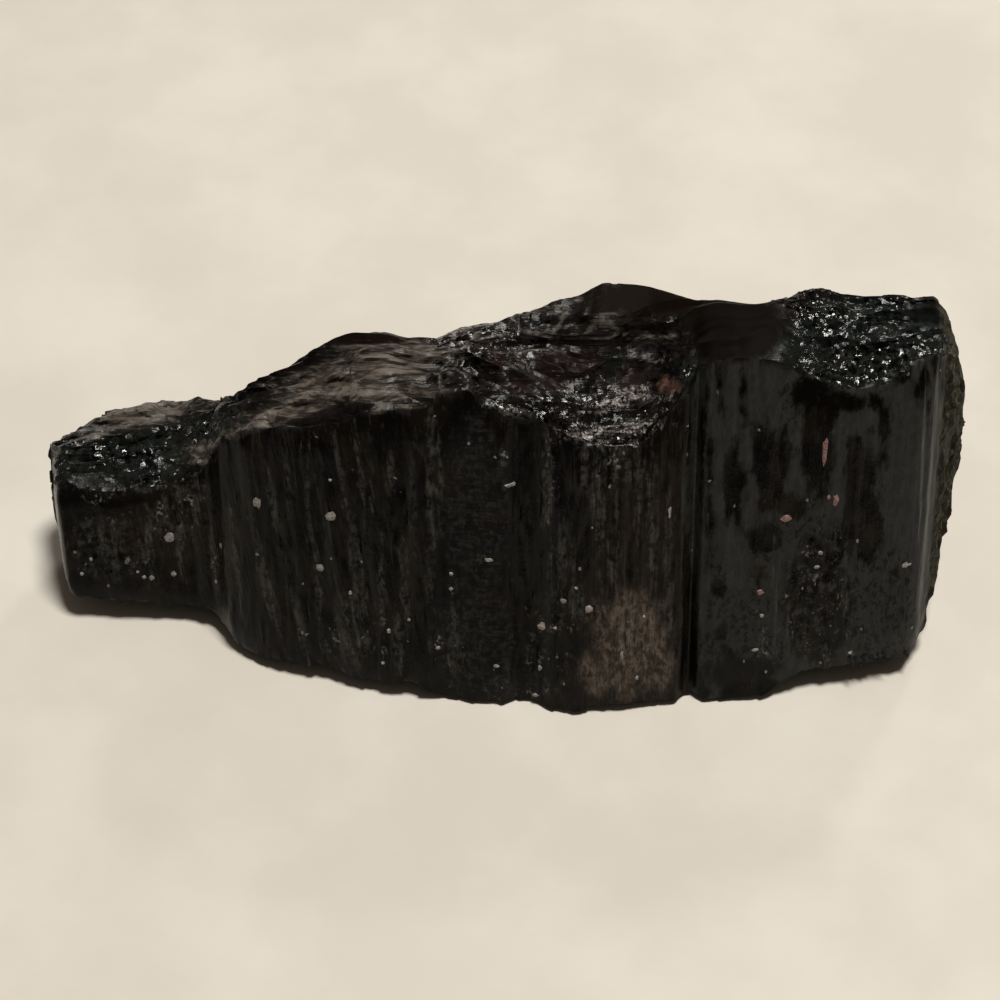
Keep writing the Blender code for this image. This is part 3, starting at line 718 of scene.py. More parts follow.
def ease(values, low, high):
    """A soft step from 0 at low to 1 at high."""
    part = np.clip((values - low) / (high - low), 0.0, 1.0)
    return part * part * (3.0 - 2.0 * part)


def ragged(grid, salt):
    """Uneven edges for the placed features, stretched along the striations."""
    wide = smooth_noise(grid, (1.6, 2.0, 4.2), salt)
    narrow = smooth_noise(grid, (0.6, 1.0, 1.7), salt + 1)
    return 0.6 * wide + 0.4 * narrow


def soften(grid, row):
    """The joints of the cage rounded over along the slab, most of all at crest and foot."""
    rounder = np.maximum(ease(row, CREST_ROW - 1.2, CREST_ROW), 1.0 - ease(row, 0.3, 1.0))
    for turn in range(EDGE_PASSES):
        mean = grid.copy()
        mean[1:-1] = (grid[:-2] + 2.0 * grid[1:-1] + grid[2:]) / 4.0
        share = np.ones_like(rounder) if turn < ALL_PASSES else rounder
        grid = grid + (mean - grid) * share[..., None]
    up_face = ease(row, 0.2, 0.6) * (1.0 - ease(row, RIM_ROW - 0.5, RIM_ROW - 0.2))
    for turn in range(FACE_PASSES):
        mean = (np.roll(grid, 1, axis=1) + 2.0 * grid + np.roll(grid, -1, axis=1)) / 4.0
        grid = grid + (mean - grid) * up_face[..., None]
    return grid


def relief(grid, row, marks):
    """How far the fine surface stands proud of the cage, in millimetres, and how broken."""
    x = grid[..., 0]
    # Which part of the ring each point is on.
    glitter = ease(marks["glitter"], -2.0, 6.0)
    broken_rim = ease(np.maximum(marks["glitter"], marks["sparse"]), -14.0, 0.0)
    edge_noise = RIM_CHIP_ROWS * chips(grid, *RIM_CHIPS)
    edge_noise += RIM_WAVE_ROWS * broken_rim * (ragged(grid, 845) - 0.1)
    face = 1.0 - ease(row + edge_noise, RIM_ROW - 0.14, RIM_ROW + 0.08)
    top = (1.0 - face) * (1.0 - ease(row, CREST_ROW, CREST_ROW + 1.0))
    base = ease(row, BASE_ROW, BASE_ROW + 1.0)
    back = ease(row, CREST_ROW + 0.2, CREST_ROW + 1.2) * (1.0 - base)
    edge = np.exp(-((row - RIM_ROW) / EDGE_WIDTH) ** 2) + np.exp(-(row / EDGE_WIDTH) ** 2)
    side = ease(x, SIDE_STARTS - 0.4, SIDE_STARTS + 0.6)

    # Long splinters and striae of the face, on a grid that wanders along the slab.
    wander = np.stack([smooth_noise(grid, (4, 3, 9), 900)] * 3, axis=-1)
    bent = grid + WANDER * wander * (1, 0, 0)
    splinters = chips(bent, *LONG_SPLINTERS)
    slivers = chips(bent, *SLIVERS)
    striae = along(STRIP_RELIEF, x) * (SPLINTER_RELIEF * splinters + SLIVER_RELIEF * slivers)
    striae += STRIA_RELIEF * smooth_noise(bent, (0.5, 4.0, 12.0), 310)
    striae += THREAD_RELIEF * smooth_noise(bent, (0.7, 1.0, 1.6), 320)

    # Flakes, flecks and grit of the broken stone, and steps that cross it.
    flakes = chips(grid, *FLAKES)
    flecks = chips(grid, *FLECKS)
    grit = chips(grid, *GRIT)
    slope = 3.0 * smooth_noise(grid, (14.0, 4.0, 6.0), 700)
    slope += 0.8 * smooth_noise(grid, (5, 2, 2), 701)
    slope += 0.45 * grid[..., 1] + 0.06 * x
    steps = terraces(slope, 4.0) - slope
    calm = 1.0 - 0.88 * ease(marks["calm"] + 3.0 * ragged(grid, 850), -2.0, 4.0)
    rough = along(TOP_ROUGH, x)
    broken_top = TOP_FLAKES * rough * flakes
    broken_top += TOP_FLECKS * rough * flecks * (0.6 + 0.4 * glitter)
    broken_top += TOP_GRIT * grit * glitter + (TOP_STEPS[0] + TOP_STEPS[1] * rough) * steps
    broken_top += PLATE_RELIEF * ease(marks["plate_highlight"], -2.0, 2.5)
    flaked = ease(smooth_noise(grid, (14, 9, 9), 820), -0.2, 0.3)
    broken_back = BACK_STRIAE * striae + BACK_FLAKES * flakes * flaked
    broken_back += BACK_FLECKS * flecks
    granular = ease(marks["granular"] + 4.0 * ragged(grid, 870), -1.0, 5.0)
    pits = ease(marks["pits"] + 7.0 * ragged(grid, 880), -0.5, 0.8)

    height = face * striae * (1.0 - 0.5 * np.minimum(edge, 1.0)) + top * calm * broken_top
    height += back * broken_back + EDGE_FLECKS * edge * face * flecks
    height += FACE_GRIT * face * granular * grit - PIT_DEPTH * face * pits * (1.0 - granular)
    height += side * (1.0 - top) * (SIDE_FLAKES * flakes + SIDE_FLECKS * flecks)
    height -= base * BASE_WEAR * (1.0 + smooth_noise(grid, (3, 3, 3), 830))
    return height, 1.0 - face - 0.4 * back


def marks_of(grid, row):
    """The picture's features at each point that the camera can see."""
    across, down = in_picture(to_frame(grid))
    hidden = ease(row, CREST_ROW + 0.15, CREST_ROW + 0.9)
    hidden = hidden * (1.0 - ease(row, RING_END - 0.5, RING_END - 0.2))
    return {name: spots(across, down, shapes) * (1.0 - hidden) + UNMARKED * hidden
            for name, shapes in MARKS.items()}


def end_caps(grid):
    """Points and faces that close both ends, with a broken relief of their own."""
    count, around = grid.shape[:2]
    points, faces = [], []
    first = count * around
    for end, outward, broken_end in ((0, -1.0, LEFT_BROKEN), (count - 1, 1.0, RIGHT_BROKEN)):
        ring = grid[end]
        centre = ring.mean(axis=0)
        last = np.arange(around) + end * around
        for scale in CAP_RINGS:
            place = centre + (ring - centre) * scale
            flat = place * (0.0, 1.0, 1.0) + (60.0 * outward, 0.0, 0.0)
            lumps = END_RELIEF + CAP_FLAKE_RELIEF * chips(flat, *CAP_FLAKES)
            lumps += CAP_LUMP_RELIEF * smooth_noise(flat, (9.0, 4.0, 5.0), 970)
            small = CAP_FLECK_RELIEF * chips(flat, *CAP_FLECKS)
            inside = min(1.0, (1.0 - scale) * 4.0)
            place[:, 0] += outward * (broken_end * lumps + small) * inside
            now = np.arange(around) + first + len(points)
            points.extend(place)
            for j in range(around):
                k = (j + 1) % around
                quad = (last[j], last[k], now[k], now[j])
                faces.append(quad if outward < 0 else quad[::-1])
            last = now
        hub = first + len(points)
        points.append(np.array(points[-around:]).mean(axis=0))
        for j in range(around):
            fan = (last[j], last[(j + 1) % around], hub)
            faces.append(fan if outward < 0 else fan[::-1])
    return points, faces


def close_grid(grid):
    """All points and faces of the closed mesh."""
    count, around = grid.shape[:2]
    start = (np.arange(count - 1)[:, None] * around).repeat(around, axis=1)
    j = np.arange(around)[None, :]
    k = (j + 1) % around
    quads = np.stack([start + j, start + around + j, start + around + k, start + k], axis=-1)
    cap_points, cap_faces = end_caps(grid)
    points = np.concatenate([grid.reshape(-1, 3), np.array(cap_points)])
    faces = quads.reshape(-1, 4).tolist()
    faces += [[int(corner) for corner in face] for face in cap_faces]
    return points, faces


def on_points(field, count, elsewhere):
    """A field of the grid as one value a point, with another value on the end caps."""
    values = np.full(count, elsewhere)
    values[:field.size] = field.reshape(-1)
    return values


def fine_mesh():
    """The visual crystal: its points, faces, crystal axes and marks."""
    cage = cross_sections(np.random.RandomState(SEED))
    grid, row = fine_grid(cage)
    rows = np.broadcast_to(row[None, :], grid.shape[:2])
    grid = soften(grid, rows)
    marks = marks_of(grid, rows)
    height, fractured = relief(grid, rows, marks)
    ends = np.minimum(np.arange(len(grid)), np.arange(len(grid))[::-1])
    height = height * np.clip(ends / 3.0, 0.25, 1.0)[:, None]
    points, faces = close_grid(grid + grid_normals(grid) * height[..., None])
    home = np.concatenate([grid.reshape(-1, 3), points[grid.size // 3:]])
    placed = to_frame(points)
    placed[:, 2] = np.maximum(placed[:, 2], 0.0)
    values = {name: on_points(field, len(points), UNMARKED) for name, field in marks.items()}
    values["fractured"] = on_points(np.clip(fractured, 0.0, 1.0), len(points), 0.8)
    return placed * MM, faces, home, values


def mesh_object(name, points, faces):
    mesh = bpy.data.meshes.new(name)
    mesh.from_pydata(points.tolist(), [], faces)
    mesh.update()
    thing = bpy.data.objects.new(name, mesh)
    bpy.context.scene.collection.objects.link(thing)
    return thing


def make_crystal():
    """The crystal's object, with its marks and crystal axes as point attributes."""
    points, faces, home, values = fine_mesh()
    crystal = mesh_object("tourmaline_surface", points, faces)
    mesh = crystal.data
    for name, value in values.items():
        layer = mesh.attributes.new(name, "FLOAT", "POINT")
        layer.data.foreach_set("value", value.astype(np.float32))
    axes = mesh.attributes.new("crystal_axes", "FLOAT_VECTOR", "POINT")
    axes.data.foreach_set("vector", home.astype(np.float32).reshape(-1))
    mesh.shade_smooth()
    mesh.set_sharp_from_angle(angle=SHARP_FROM)
    return crystal


# ------------------------------------------------------------------------- materials
class Value:
    """A node's output, on which sums are written as on a number."""

    def __init__(self, tree, socket):
        self.tree = tree
        self.socket = socket

    def __add__(self, other):
        return self.tree.math("ADD", self, other)

    def __sub__(self, other):
        return self.tree.math("SUBTRACT", self, other)

    def __rsub__(self, other):
        return self.tree.math("SUBTRACT", other, self)

    def __mul__(self, other):
        return self.tree.math("MULTIPLY", self, other)


class Tree:
    """A node tree, with a short way to add each kind of node that is used here."""

    def __init__(self, tree):
        self.nodes = tree.nodes
        self.links = tree.links

    def plug(self, value, socket):
        if isinstance(value, Value):
            self.links.new(value.socket, socket)
        else:
            socket.default_value = value

    def node(self, kind, output, inputs=None, **settings):
        """Add a node and give back one output; inputs go by a socket's name or number."""
        node = self.nodes.new("ShaderNode" + kind)
        for name, value in settings.items():
            setattr(node, name, value)
        for socket, value in (inputs or {}).items():
            self.plug(value, node.inputs[socket])
        return Value(self, node.outputs[output])

    def math(self, kind, first, second):
        return self.node("Math", 0, {0: first, 1: second}, operation=kind)

    def vector(self, kind, *values):
        return self.node("VectorMath", 0, dict(enumerate(values)), operation=kind)

    def scaled(self, vector, factor):
        return self.node("VectorMath", 0, {0: vector, "Scale": factor}, operation="SCALE")

    def part(self, vector, axis):
        return self.node("SeparateXYZ", axis, {0: vector})

    def named(self, name, output="Fac"):
        return self.node("Attribute", output, attribute_name=name)

    def step(self, value, low, high):
        """A soft step from 0 at low to 1 at high."""
        inputs = {"Value": value, "From Min": low, "From Max": high}
        return self.node("MapRange", "Result", inputs, interpolation_type="SMOOTHSTEP")

    def texture(self, kind, output, place, size, **settings):
        inputs = {"Vector": self.vector("DIVIDE", place, size), "Scale": 1.0}
        inputs.update((name.title(), value) for name, value in settings.items())
        return self.node("Tex" + kind, output, inputs)

    def noise(self, place, size, detail, roughness):
        """Noise from 0 to 1 with features of the given size in millimetres."""
        return self.texture("Noise", "Fac", place, size, detail=detail, roughness=roughness)

    def cells(self, place, size):
        """A chance colour for each cell of the given size in millimetres."""
        return self.texture("Voronoi", "Color", place, size)

    def mix(self, share, first, second, kind="RGBA"):
        inputs = {"Factor": share, "A": first, "B": second}
        return self.node("Mix", "Result", inputs, data_type=kind)

    def blend(self, share, first, second):
        return self.mix(share, first, second, "FLOAT")

    def coated(self, base, coats, kind="RGBA"):
        """A base with coats laid over it in turn, each a share and what it lays there."""
        for share, coat in coats:
            base = self.mix(share, base, coat, kind)
        return base


class Material(Tree):
    def __init__(self, name):
        self.material = bpy.data.materials.new(name)
        self.material.use_nodes = True
        super().__init__(self.material.node_tree)

    def set(self, name, value):
        self.plug(value, self.nodes["Principled BSDF"].inputs[name])

    def bump(self, height, normal=None):
        """Bump the stone by a height in metres, over its own normal or a given one."""
        inputs = {"Distance": 1.0, "Height": height}
        if normal is not None:
            inputs["Normal"] = normal
        self.set("Normal", self.node("Bump", "Normal", inputs))


BLACK_STONE = (0.0026, 0.0023, 0.0021, 1)
BROWN_BLACK = (0.0080, 0.0057, 0.0041, 1)
BROWN_DEEP = (0.0200, 0.0140, 0.0100, 1)
BROWN_LIT = (0.1480, 0.1160, 0.0890, 1)
GREEN_BLACK = (0.0085, 0.0125, 0.0105, 1)
BROKEN_BROWN = (0.0105, 0.0078, 0.0066, 1)
SLATE = (0.0105, 0.0112, 0.0100, 1)
SLATE_LIGHT = (0.0270, 0.0278, 0.0250, 1)
BLUE_SLATE = (0.0225, 0.0218, 0.0212, 1)
STREAK_GREY = (0.0300, 0.0270, 0.0238, 1)
STREAK_LIGHT = (0.0660, 0.0620, 0.0550, 1)
CRUMB_GREY = (0.0420, 0.0405, 0.0365, 1)
# Painted sheen: the soft brown shine of the layered top on the left, laid on as colour.
PAINTED_SHEEN_BROWN = (0.0270, 0.0220, 0.0172, 1)
SMOOTH_BROWN = (0.0082, 0.0054, 0.0034, 1)
SMOOTH_BLACK = (0.0050, 0.0037, 0.0029, 1)
# Brown layers, partly a painted sheen.
LAYER_SHEEN_BROWN = (0.0180, 0.0140, 0.0120, 1)
# Painted sheen on the lamellae.
LAMELLA_SHEEN_PAINT = (0.1120, 0.0940, 0.0770, 1)
# Painted highlight colour of the lit ledge plates and the glancing layers.
PAINTED_PLATE_HIGHLIGHT = (0.1500, 0.1320, 0.1130, 1)
# Painted highlight colour of the thin lines along the end edges.
EDGE_HIGHLIGHT_PAINT = (0.1300, 0.1300, 0.1200, 1)
OLIVE_SIDE = (0.0160, 0.0150, 0.0085, 1)
OLIVE_LIT = (0.0820, 0.0760, 0.0500, 1)
# Whitish crust, also the colour of painted glints.
WHITISH_CRUST_GLINT = (0.4900, 0.4400, 0.4100, 1)
ROSE_CRUST = (0.1200, 0.0640, 0.0520, 1)
MAROON_STONE = (0.0140, 0.0072, 0.0074, 1)
# Pale specks, and on the face the colour of the painted glints in the whitish marks.
PALE_SPECK_GLINT = (0.2300, 0.2220, 0.2060, 1)
SCHORL_IOR = 1.64
LEAST_ROUGH = 0.10

# Left of the middle the striae lean as they rise: the share of the lean, and where along
# the slab in millimetres it starts to fade and is gone.
STRIAE_LEAN = 0.16
LEANING_TO = (-14.0, -3.0)


def crystal_material():
    """Schorl: black glass with film, streaks, crusts and glints where they were placed; the layered
    top, its plates and the end edges carry painted sheen and highlights, and the whitish crust some
    painted glints.
    """
    sh = Material("schorl")
    place = sh.named("crystal_axes", "Vector")
    fractured = sh.named("fractured")
    face = 1.0 - fractured
    across_slab = sh.part(place, "X")
    drift = (1.0 - sh.step(across_slab, *LEANING_TO)) * STRIAE_LEAN * sh.part(place, "Z")
    leaned = sh.vector("ADD", place, sh.node("CombineXYZ", "Vector", {"X": drift}))
    striae = sh.noise(leaned, (0.34, 1.2, 6.0), 4.0, 0.62)
    threads = sh.noise(leaned, (0.26, 1.0, 2.4), 4.0, 0.62)
    blotches = sh.noise(place, (3.0, 3.0, 4.0), 4.0, 0.6)
    smudge = sh.noise(place, (0.9, 0.9, 2.2), 4.0, 0.65)
    torn = sh.noise(place, (1.5, 1.8, 3.4), 5.0, 0.62)
    mottle = sh.noise(place, (0.55, 0.60, 0.85), 4.0, 0.70)
    grit = sh.noise(place, (0.22, 0.22, 0.30), 3.0, 0.6)
    ripple = sh.noise(place, (1.7, 1.0, 0.30), 3.0, 0.6)
    layers = sh.noise(place, (5.0, 0.55, 0.36), 4.0, 0.6)
    wide_layers = sh.noise(place, (9.0, 1.3, 0.9), 4.0, 0.55)
    dust = sh.noise(place, (0.36, 0.45, 0.50), 3.0, 0.6)
    crumbs = sh.noise(place, (0.75, 0.80, 1.00), 4.0, 0.7)
    clusters = sh.step(smudge, 0.42, 0.58)
    clumps = sh.step(smudge, 0.46, 0.60)

    def mark(name, wobble, low, high, amount):
        """A placed feature with an uneven edge; all in pixels of the picture."""
        return sh.step(sh.named(name) + (wobble - 0.5) * amount, low, high)

    # What lies on the striated face.
    pits = mark("pits", torn, -3.4, 4.2, 32.0)
    granular = mark("granular", smudge, -3.0, 5.0, 30.0)
    gaps = sh.step(mottle, 0.48, 0.58) * mark("worn_film", torn, -8.0, 8.0, 20.0) * 0.85
    film = mark("film", torn, -2.2, 2.4, 24.0) * (1.0 - pits) * (1.0 - gaps) * face
    hatched = mark("hatched", smudge, -6.0, 8.0, 30.0)
    dark = mark("dark", torn, -3.0, 5.0, 26.0)
    # Painted highlight: pale lines along the end edges, laid on as colour.
    painted_edge_highlight = mark("edge", threads, -0.8, 1.6, 3.0)
    streak = mark("streak", (threads + smudge) * 0.5, -1.5, 3.6, 22.0)
    streak = streak * sh.step(mottle, 0.36, 0.62) * sh.blend(sh.step(striae, 0.40, 0.60), 0.40, 1.0)
    brown = mark("brown", torn, -8.0, 14.0, 30.0) * sh.step(striae, 0.35, 0.65)
    brown = brown * sh.blend(sh.step(mottle, 0.38, 0.62), 0.35, 1.0)
    glow = mark("glow", torn, -8.0, 15.0, 44.0) * sh.step(threads, 0.20, 0.52)
    glow = glow * sh.blend(sh.step(mottle, 0.38, 0.60), 0.26, 1.0)
    glow = glow * sh.blend(sh.step(smudge, 0.40, 0.60), 0.45, 1.0)
    wisps = sh.step(threads, 0.55, 0.66) * sh.step(blotches, 0.44, 0.60) * face
    flecked = sh.step(mottle, 0.56, 0.70) * clumps
    chance_cell = sh.part(sh.cells(place, (0.24, 0.6, 0.30)), "X")
    specks = sh.step(dust, 0.60, 0.74) * granular * clumps
    specks = sh.math("MAXIMUM", specks, sh.step(chance_cell, 0.9985, 0.9990))
    specks = specks * face * (1.0 - film * 0.7)

    # What lies on the broken top.
    glitter = mark("glitter", smudge, -2.0, 4.0, 22.0)
    sparse = mark("sparse", smudge, -6.0, 12.0, 30.0)
    green = mark("green", blotches, -6.0, 8.0, 30.0)
    calm = mark("calm", smudge, -8.0, 8.0, 22.0)
    umber = mark("umber", smudge, -4.0, 6.0, 16.0)
    # Brown layering, partly a painted sheen of lit ledge edges.
    layered_sheen = mark("layered_sheen", layers, -4.0, 6.0, 18.0) * sh.step(layers, 0.44, 0.60)
    # Painted sheen: the layered top on the left is lightened as if it caught the light, its
    # lamellae and glancing layers lighter still.
    sheen_area = mark("lamella_sheen", layers, -6.0, 6.0, 12.0)
    lamella_sheen = mark("lamella_sheen", layers, -3.0, 5.0, 18.0) * sh.step(wide_layers, 0.36, 0.56)
    lamella_sheen = lamella_sheen * sh.blend(sh.step(layers, 0.43, 0.56), 0.14, 1.0)
    painted_glancing_sheen = sheen_area * fractured * sh.step(layers, 0.53, 0.63) * sh.step(mottle, 0.38, 0.58)
    # Painted highlight: the pale plates along the ledges.
    plate_highlight = mark("plate_highlight", layers, -1.0, 2.2, 9.0)
    maroon = mark("maroon", torn, -3.0, 8.0, 24.0) * fractured
    rosy = mark("rosy", smudge, -1.0, 7.0, 18.0)
    rosy = rosy * sh.blend(sh.step(mottle, 0.40, 0.60), 0.30, 0.85)
    # Whitish crust, with small painted glints where the marks stand along the rim and on the face.
    crumbled = sh.step(grit, 0.42, 0.55) * sh.blend(sh.step(layers, 0.42, 0.54), 0.15, 1.0)
    crust_and_glints = sh.blend(fractured, sh.step(dust, 0.50, 0.64), crumbled)
    crust_and_glints = mark("whitish", smudge, -1.0, 6.0, 22.0) * crust_and_glints

    # The ends of the slab.
    side = sh.step(across_slab, SIDE_STARTS - 0.15, SIDE_STARTS + 0.2)
    left_end = 1.0 - sh.step(across_slab, LEFT_END_STARTS - 0.3, LEFT_END_STARTS + 0.1)
    ends = sh.math("MAXIMUM", side, left_end)

    slate = sh.step(smudge * 0.36 + mottle * 0.40 + striae * 0.24, 0.38, 0.64)
    slate = sh.mix(slate, SLATE, SLATE_LIGHT)
    olive = sh.mix(sh.step(mottle, 0.46, 0.70), OLIVE_SIDE, OLIVE_LIT)
    left_tint = sh.mix(sh.step(crumbs, 0.44, 0.66), BROWN_BLACK, STREAK_GREY)
    crust_glint_tint = sh.mix(fractured, PALE_SPECK_GLINT, WHITISH_CRUST_GLINT)
    broken_tint = sh.coated(BLACK_STONE, (
        (sh.step(blotches, 0.38, 0.62) * 0.8, BROKEN_BROWN),
        (sheen_area, PAINTED_SHEEN_BROWN),
        (calm, SMOOTH_BLACK),
        (umber, SMOOTH_BROWN),
        (layered_sheen * 0.9, LAYER_SHEEN_BROWN),
    ))
    sh.set("Base Color", sh.coated(BLACK_STONE, (
        (sh.step(blotches, 0.42, 0.7), BROWN_BLACK),
        (hatched * sh.step(ripple * 0.4 + mottle * 0.6, 0.44, 0.64), BLUE_SLATE),
        (brown, BROWN_DEEP),
        (wisps * 0.38, STREAK_GREY),
        (flecked * 0.50, STREAK_GREY),
        (granular * sh.step(crumbs, 0.51, 0.64) * 0.7, CRUMB_GREY),
        (dark * 0.85, BLACK_STONE),
        (glow, BROWN_LIT),
        (streak * 0.85, STREAK_LIGHT),
        (film, slate),
        (sh.step(fractured, 0.5, 0.9) * (1.0 - side), broken_tint),
        (green * fractured * sh.step(mottle, 0.34, 0.60), GREEN_BLACK),
        (maroon, MAROON_STONE),
        (lamella_sheen * fractured * (1.0 - green * 0.6), LAMELLA_SHEEN_PAINT),
        (plate_highlight * fractured * sh.step(mottle, 0.30, 0.56) * 0.85, PAINTED_PLATE_HIGHLIGHT),
        (painted_glancing_sheen * 0.75, PAINTED_PLATE_HIGHLIGHT),
        (side, olive),
        (left_end, left_tint),
        (rosy, ROSE_CRUST),
        (crust_and_glints * 0.8, crust_glint_tint),
        (painted_edge_highlight * 0.85, EDGE_HIGHLIGHT_PAINT),
        (specks * 0.8, PALE_SPECK_GLINT),
    )))

    rough = sh.blend(glitter, sh.blend(sparse, 0.32, 0.20), 0.12)
    rough = sh.blend(fractured, 0.27, rough) + (smudge - 0.5) * 0.24 + wisps * 0.22
    rough = sh.coated(rough, (
        (film, 0.52), (hatched, 0.42), (pits, 0.15), (dark, 0.16), (sheen_area * fractured, 0.44),
        (plate_highlight * fractured, 0.45), (calm * fractured, 0.60), (ends, 0.60), (crust_and_glints, 0.6),
    ), "FLOAT")
    sh.set("Roughness", sh.math("MAXIMUM", rough, LEAST_ROUGH))
    sh.set("IOR", SCHORL_IOR)
    gloss = sh.blend(glitter, sh.blend(sparse, 0.17, 0.30), 0.56)
    sh.set("Specular IOR Level", sh.coated(sh.blend(fractured, 0.09, gloss), (
        (pits, 0.10), (dark, 0.11), (film, 0.20), (maroon, 0.05), (calm * fractured, 0.02),
        (ends, 0.06),
    ), "FLOAT"))

    # Tiny facets, each turned its own way, make the glints.
    facet = sh.vector("SUBTRACT", sh.cells(place, (0.55, 0.45, 0.40)), (0.5, 0.5, 0.5))
    loose = glitter * sh.blend(clusters, 0.45, 1.35) + sparse * sh.blend(clusters, 0.30, 0.66)
    loose = (loose + 0.24) * sh.step(fractured, 0.02, 0.35) * (1.0 - calm * 0.9)
    loose = loose * (1.0 - plate_highlight * 0.6) * (1.0 - sheen_area * 0.7)
    tilted = sh.vector("ADD", sh.node("NewGeometry", "Normal"), sh.scaled(facet, loose))
    height = (striae * 0.00005 + threads * 0.00003) * (face - film * 0.7)
    height = height + film * 0.00004 + grit * 0.00001 + mottle * 0.00003
    height = height + hatched * ripple * 0.00002 + ends * mottle * 0.00020
    height = height + fractured * (1.0 - calm) * (1.0 - side) * layers * 0.00012
    sh.bump(height, sh.vector("NORMALIZE", tilted))
    return sh.material


def mottled_material(name, deep, pale, size, detail, band, rough, height, gloss=None):
    """A plain stone that varies between two colours; size and height in millimetres."""
    sh = Material(name)
    place = sh.scaled(sh.node("NewGeometry", "Position"), 1.0 / MM)
    patches = sh.noise(place, size, detail, 0.6)
    sh.set("Base Color", sh.mix(sh.step(patches, *band), deep, pale))
    sh.set("Roughness", sh.blend(patches, rough, rough + 0.2))
    if gloss is not None:
        sh.set("Specular IOR Level", gloss)
    sh.bump(patches * (height * MM))
    return sh.material


# ---------------------------------------------------------------------------- grains
GRAIN_PROUD = 0.02
GRAIN_SUNK = 0.12
GRAIN_DEPTH = 0.22
GRAIN_LUMPS = 0.22
GRAIN_TURN = 0.4
UPRIGHT_GRAIN = 0.7


def cast_to(tree, across, down):
    """Where the camera's ray through a place in the picture meets the crystal."""
    start = (TARGET + TO_CAMERA * DISTANCE) * MM
    ray = -TO_CAMERA * FOCAL + PICTURE_UP * (PICTURE / 2 - down)
    ray = ray + np.array([across - PICTURE / 2, 0.0, 0.0])
    return tree.ray_cast(Vector(start), Vector(ray).normalized())[:2]


def unit_ball():
    """Points and triangles of a small round ball of radius 1."""
    mesh = bpy.data.meshes.new("unit_grain")
    ball = bmesh.new()
    bmesh.ops.create_icosphere(ball, subdivisions=2, radius=1.0)
    ball.to_mesh(mesh)
    ball.free()
    points = np.array([vertex.co[:] for vertex in mesh.vertices])
    triangles = [tuple(polygon.vertices) for polygon in mesh.polygons]
    bpy.data.meshes.remove(mesh)
    return points, triangles


def grains(name, places, tree, salt):
    """Small uneven grains half sunk in the surface, joined in one mesh."""
    random = np.random.RandomState(salt)
    shell, triangles = unit_ball()
    points, faces = [], []
    for across, down, wide, high in places:
        spot, normal = cast_to(tree, across, down)
        if spot is None:
            continue
        spot, normal = np.array(spot) / MM, np.array(normal)
        if normal @ TO_CAMERA < 0.0:
            normal = -normal
        upward = UP_STRIATIONS - normal * (UP_STRIATIONS @ normal)
        upward /= np.linalg.norm(upward)
        sideways = np.cross(upward, normal)
        lumps = 1.0 + GRAIN_LUMPS * random.uniform(-1.0, 1.0, len(shell))
        body = shell * lumps[:, None]
        turn = random.uniform(-GRAIN_TURN, GRAIN_TURN) if high < UPRIGHT_GRAIN else 0.0
        right = body[:, 0] * math.cos(turn) - body[:, 1] * math.sin(turn)
        above = body[:, 0] * math.sin(turn) + body[:, 1] * math.cos(turn)
        out = body[:, 2] * GRAIN_DEPTH + GRAIN_PROUD - GRAIN_SUNK
        grain = spot + sideways * (right * wide)[:, None] + upward * (above * high)[:, None]
        grain = grain + normal * out[:, None]
        first = len(points)
        points.extend(grain * MM)
        faces.extend(tuple(first + corner for corner in triangle) for triangle in triangles)
    thing = mesh_object(name, np.array(points), faces)
    thing.data.shade_flat()
    return thing


# Splinters that hang from the foot: (root across, down, tip across, down, thickness mm).
SPLINTERS = (
    (850, 657, 856, 671, 0.34), (855, 657, 863, 668, 0.28), (864, 656, 868, 665, 0.5),
    (878, 654, 884, 664, 0.24), (883, 653, 890, 664, 0.22), (871, 656, 876, 663, 0.3),
    (786, 682, 783, 690, 0.4), (795, 680, 794, 686, 0.36), (905, 652, 909, 658, 0.26),
)
SPLINTER_DEPTH = 0.6
TIP_CLEARS_FLOOR = 0.05


def foot_splinters(tree):
    """Thin four-sided spikes, thickest at the root, joined in one mesh."""
    points, faces = [], []
    eye = TARGET + TO_CAMERA * DISTANCE
    for root_across, root_down, tip_across, tip_down, thick in SPLINTERS:
        spot = cast_to(tree, root_across, root_down)[0]
        if spot is None:
            continue
        root = np.array(spot) / MM
        depth = (eye - root) @ TO_CAMERA
        tip = eye - TO_CAMERA * depth - PICTURE_UP * (tip_down - PICTURE / 2) * depth / FOCAL
        tip[0] += (tip_across - PICTURE / 2) * depth / FOCAL
        tip[2] = max(tip[2], TIP_CLEARS_FLOOR)
        length = (tip - root) / np.linalg.norm(tip - root)
        wide = np.cross(length, TO_CAMERA)
        wide /= np.linalg.norm(wide)
        first = len(points)
        points.extend([root + wide * thick, root + TO_CAMERA * thick * SPLINTER_DEPTH])
        points.extend([root - wide * thick, root - TO_CAMERA * thick * SPLINTER_DEPTH, tip])
        faces.append((first + 3, first + 2, first + 1, first))
        faces.extend((first + side, first + (side + 1) % 4, first + 4) for side in range(4))
    thing = mesh_object("foot_splinters", np.array(points) * MM, faces)
    thing.data.shade_flat()
    return thing


# ----------------------------------------------------------------------------- stage
FLOOR_HALF = 3
FLOOR_DEEP = (0.662, 0.617, 0.542, 1)
FLOOR_PALE = (0.722, 0.684, 0.610, 1)
LIGHT_COLOUR = (1.0, 0.97, 0.92)
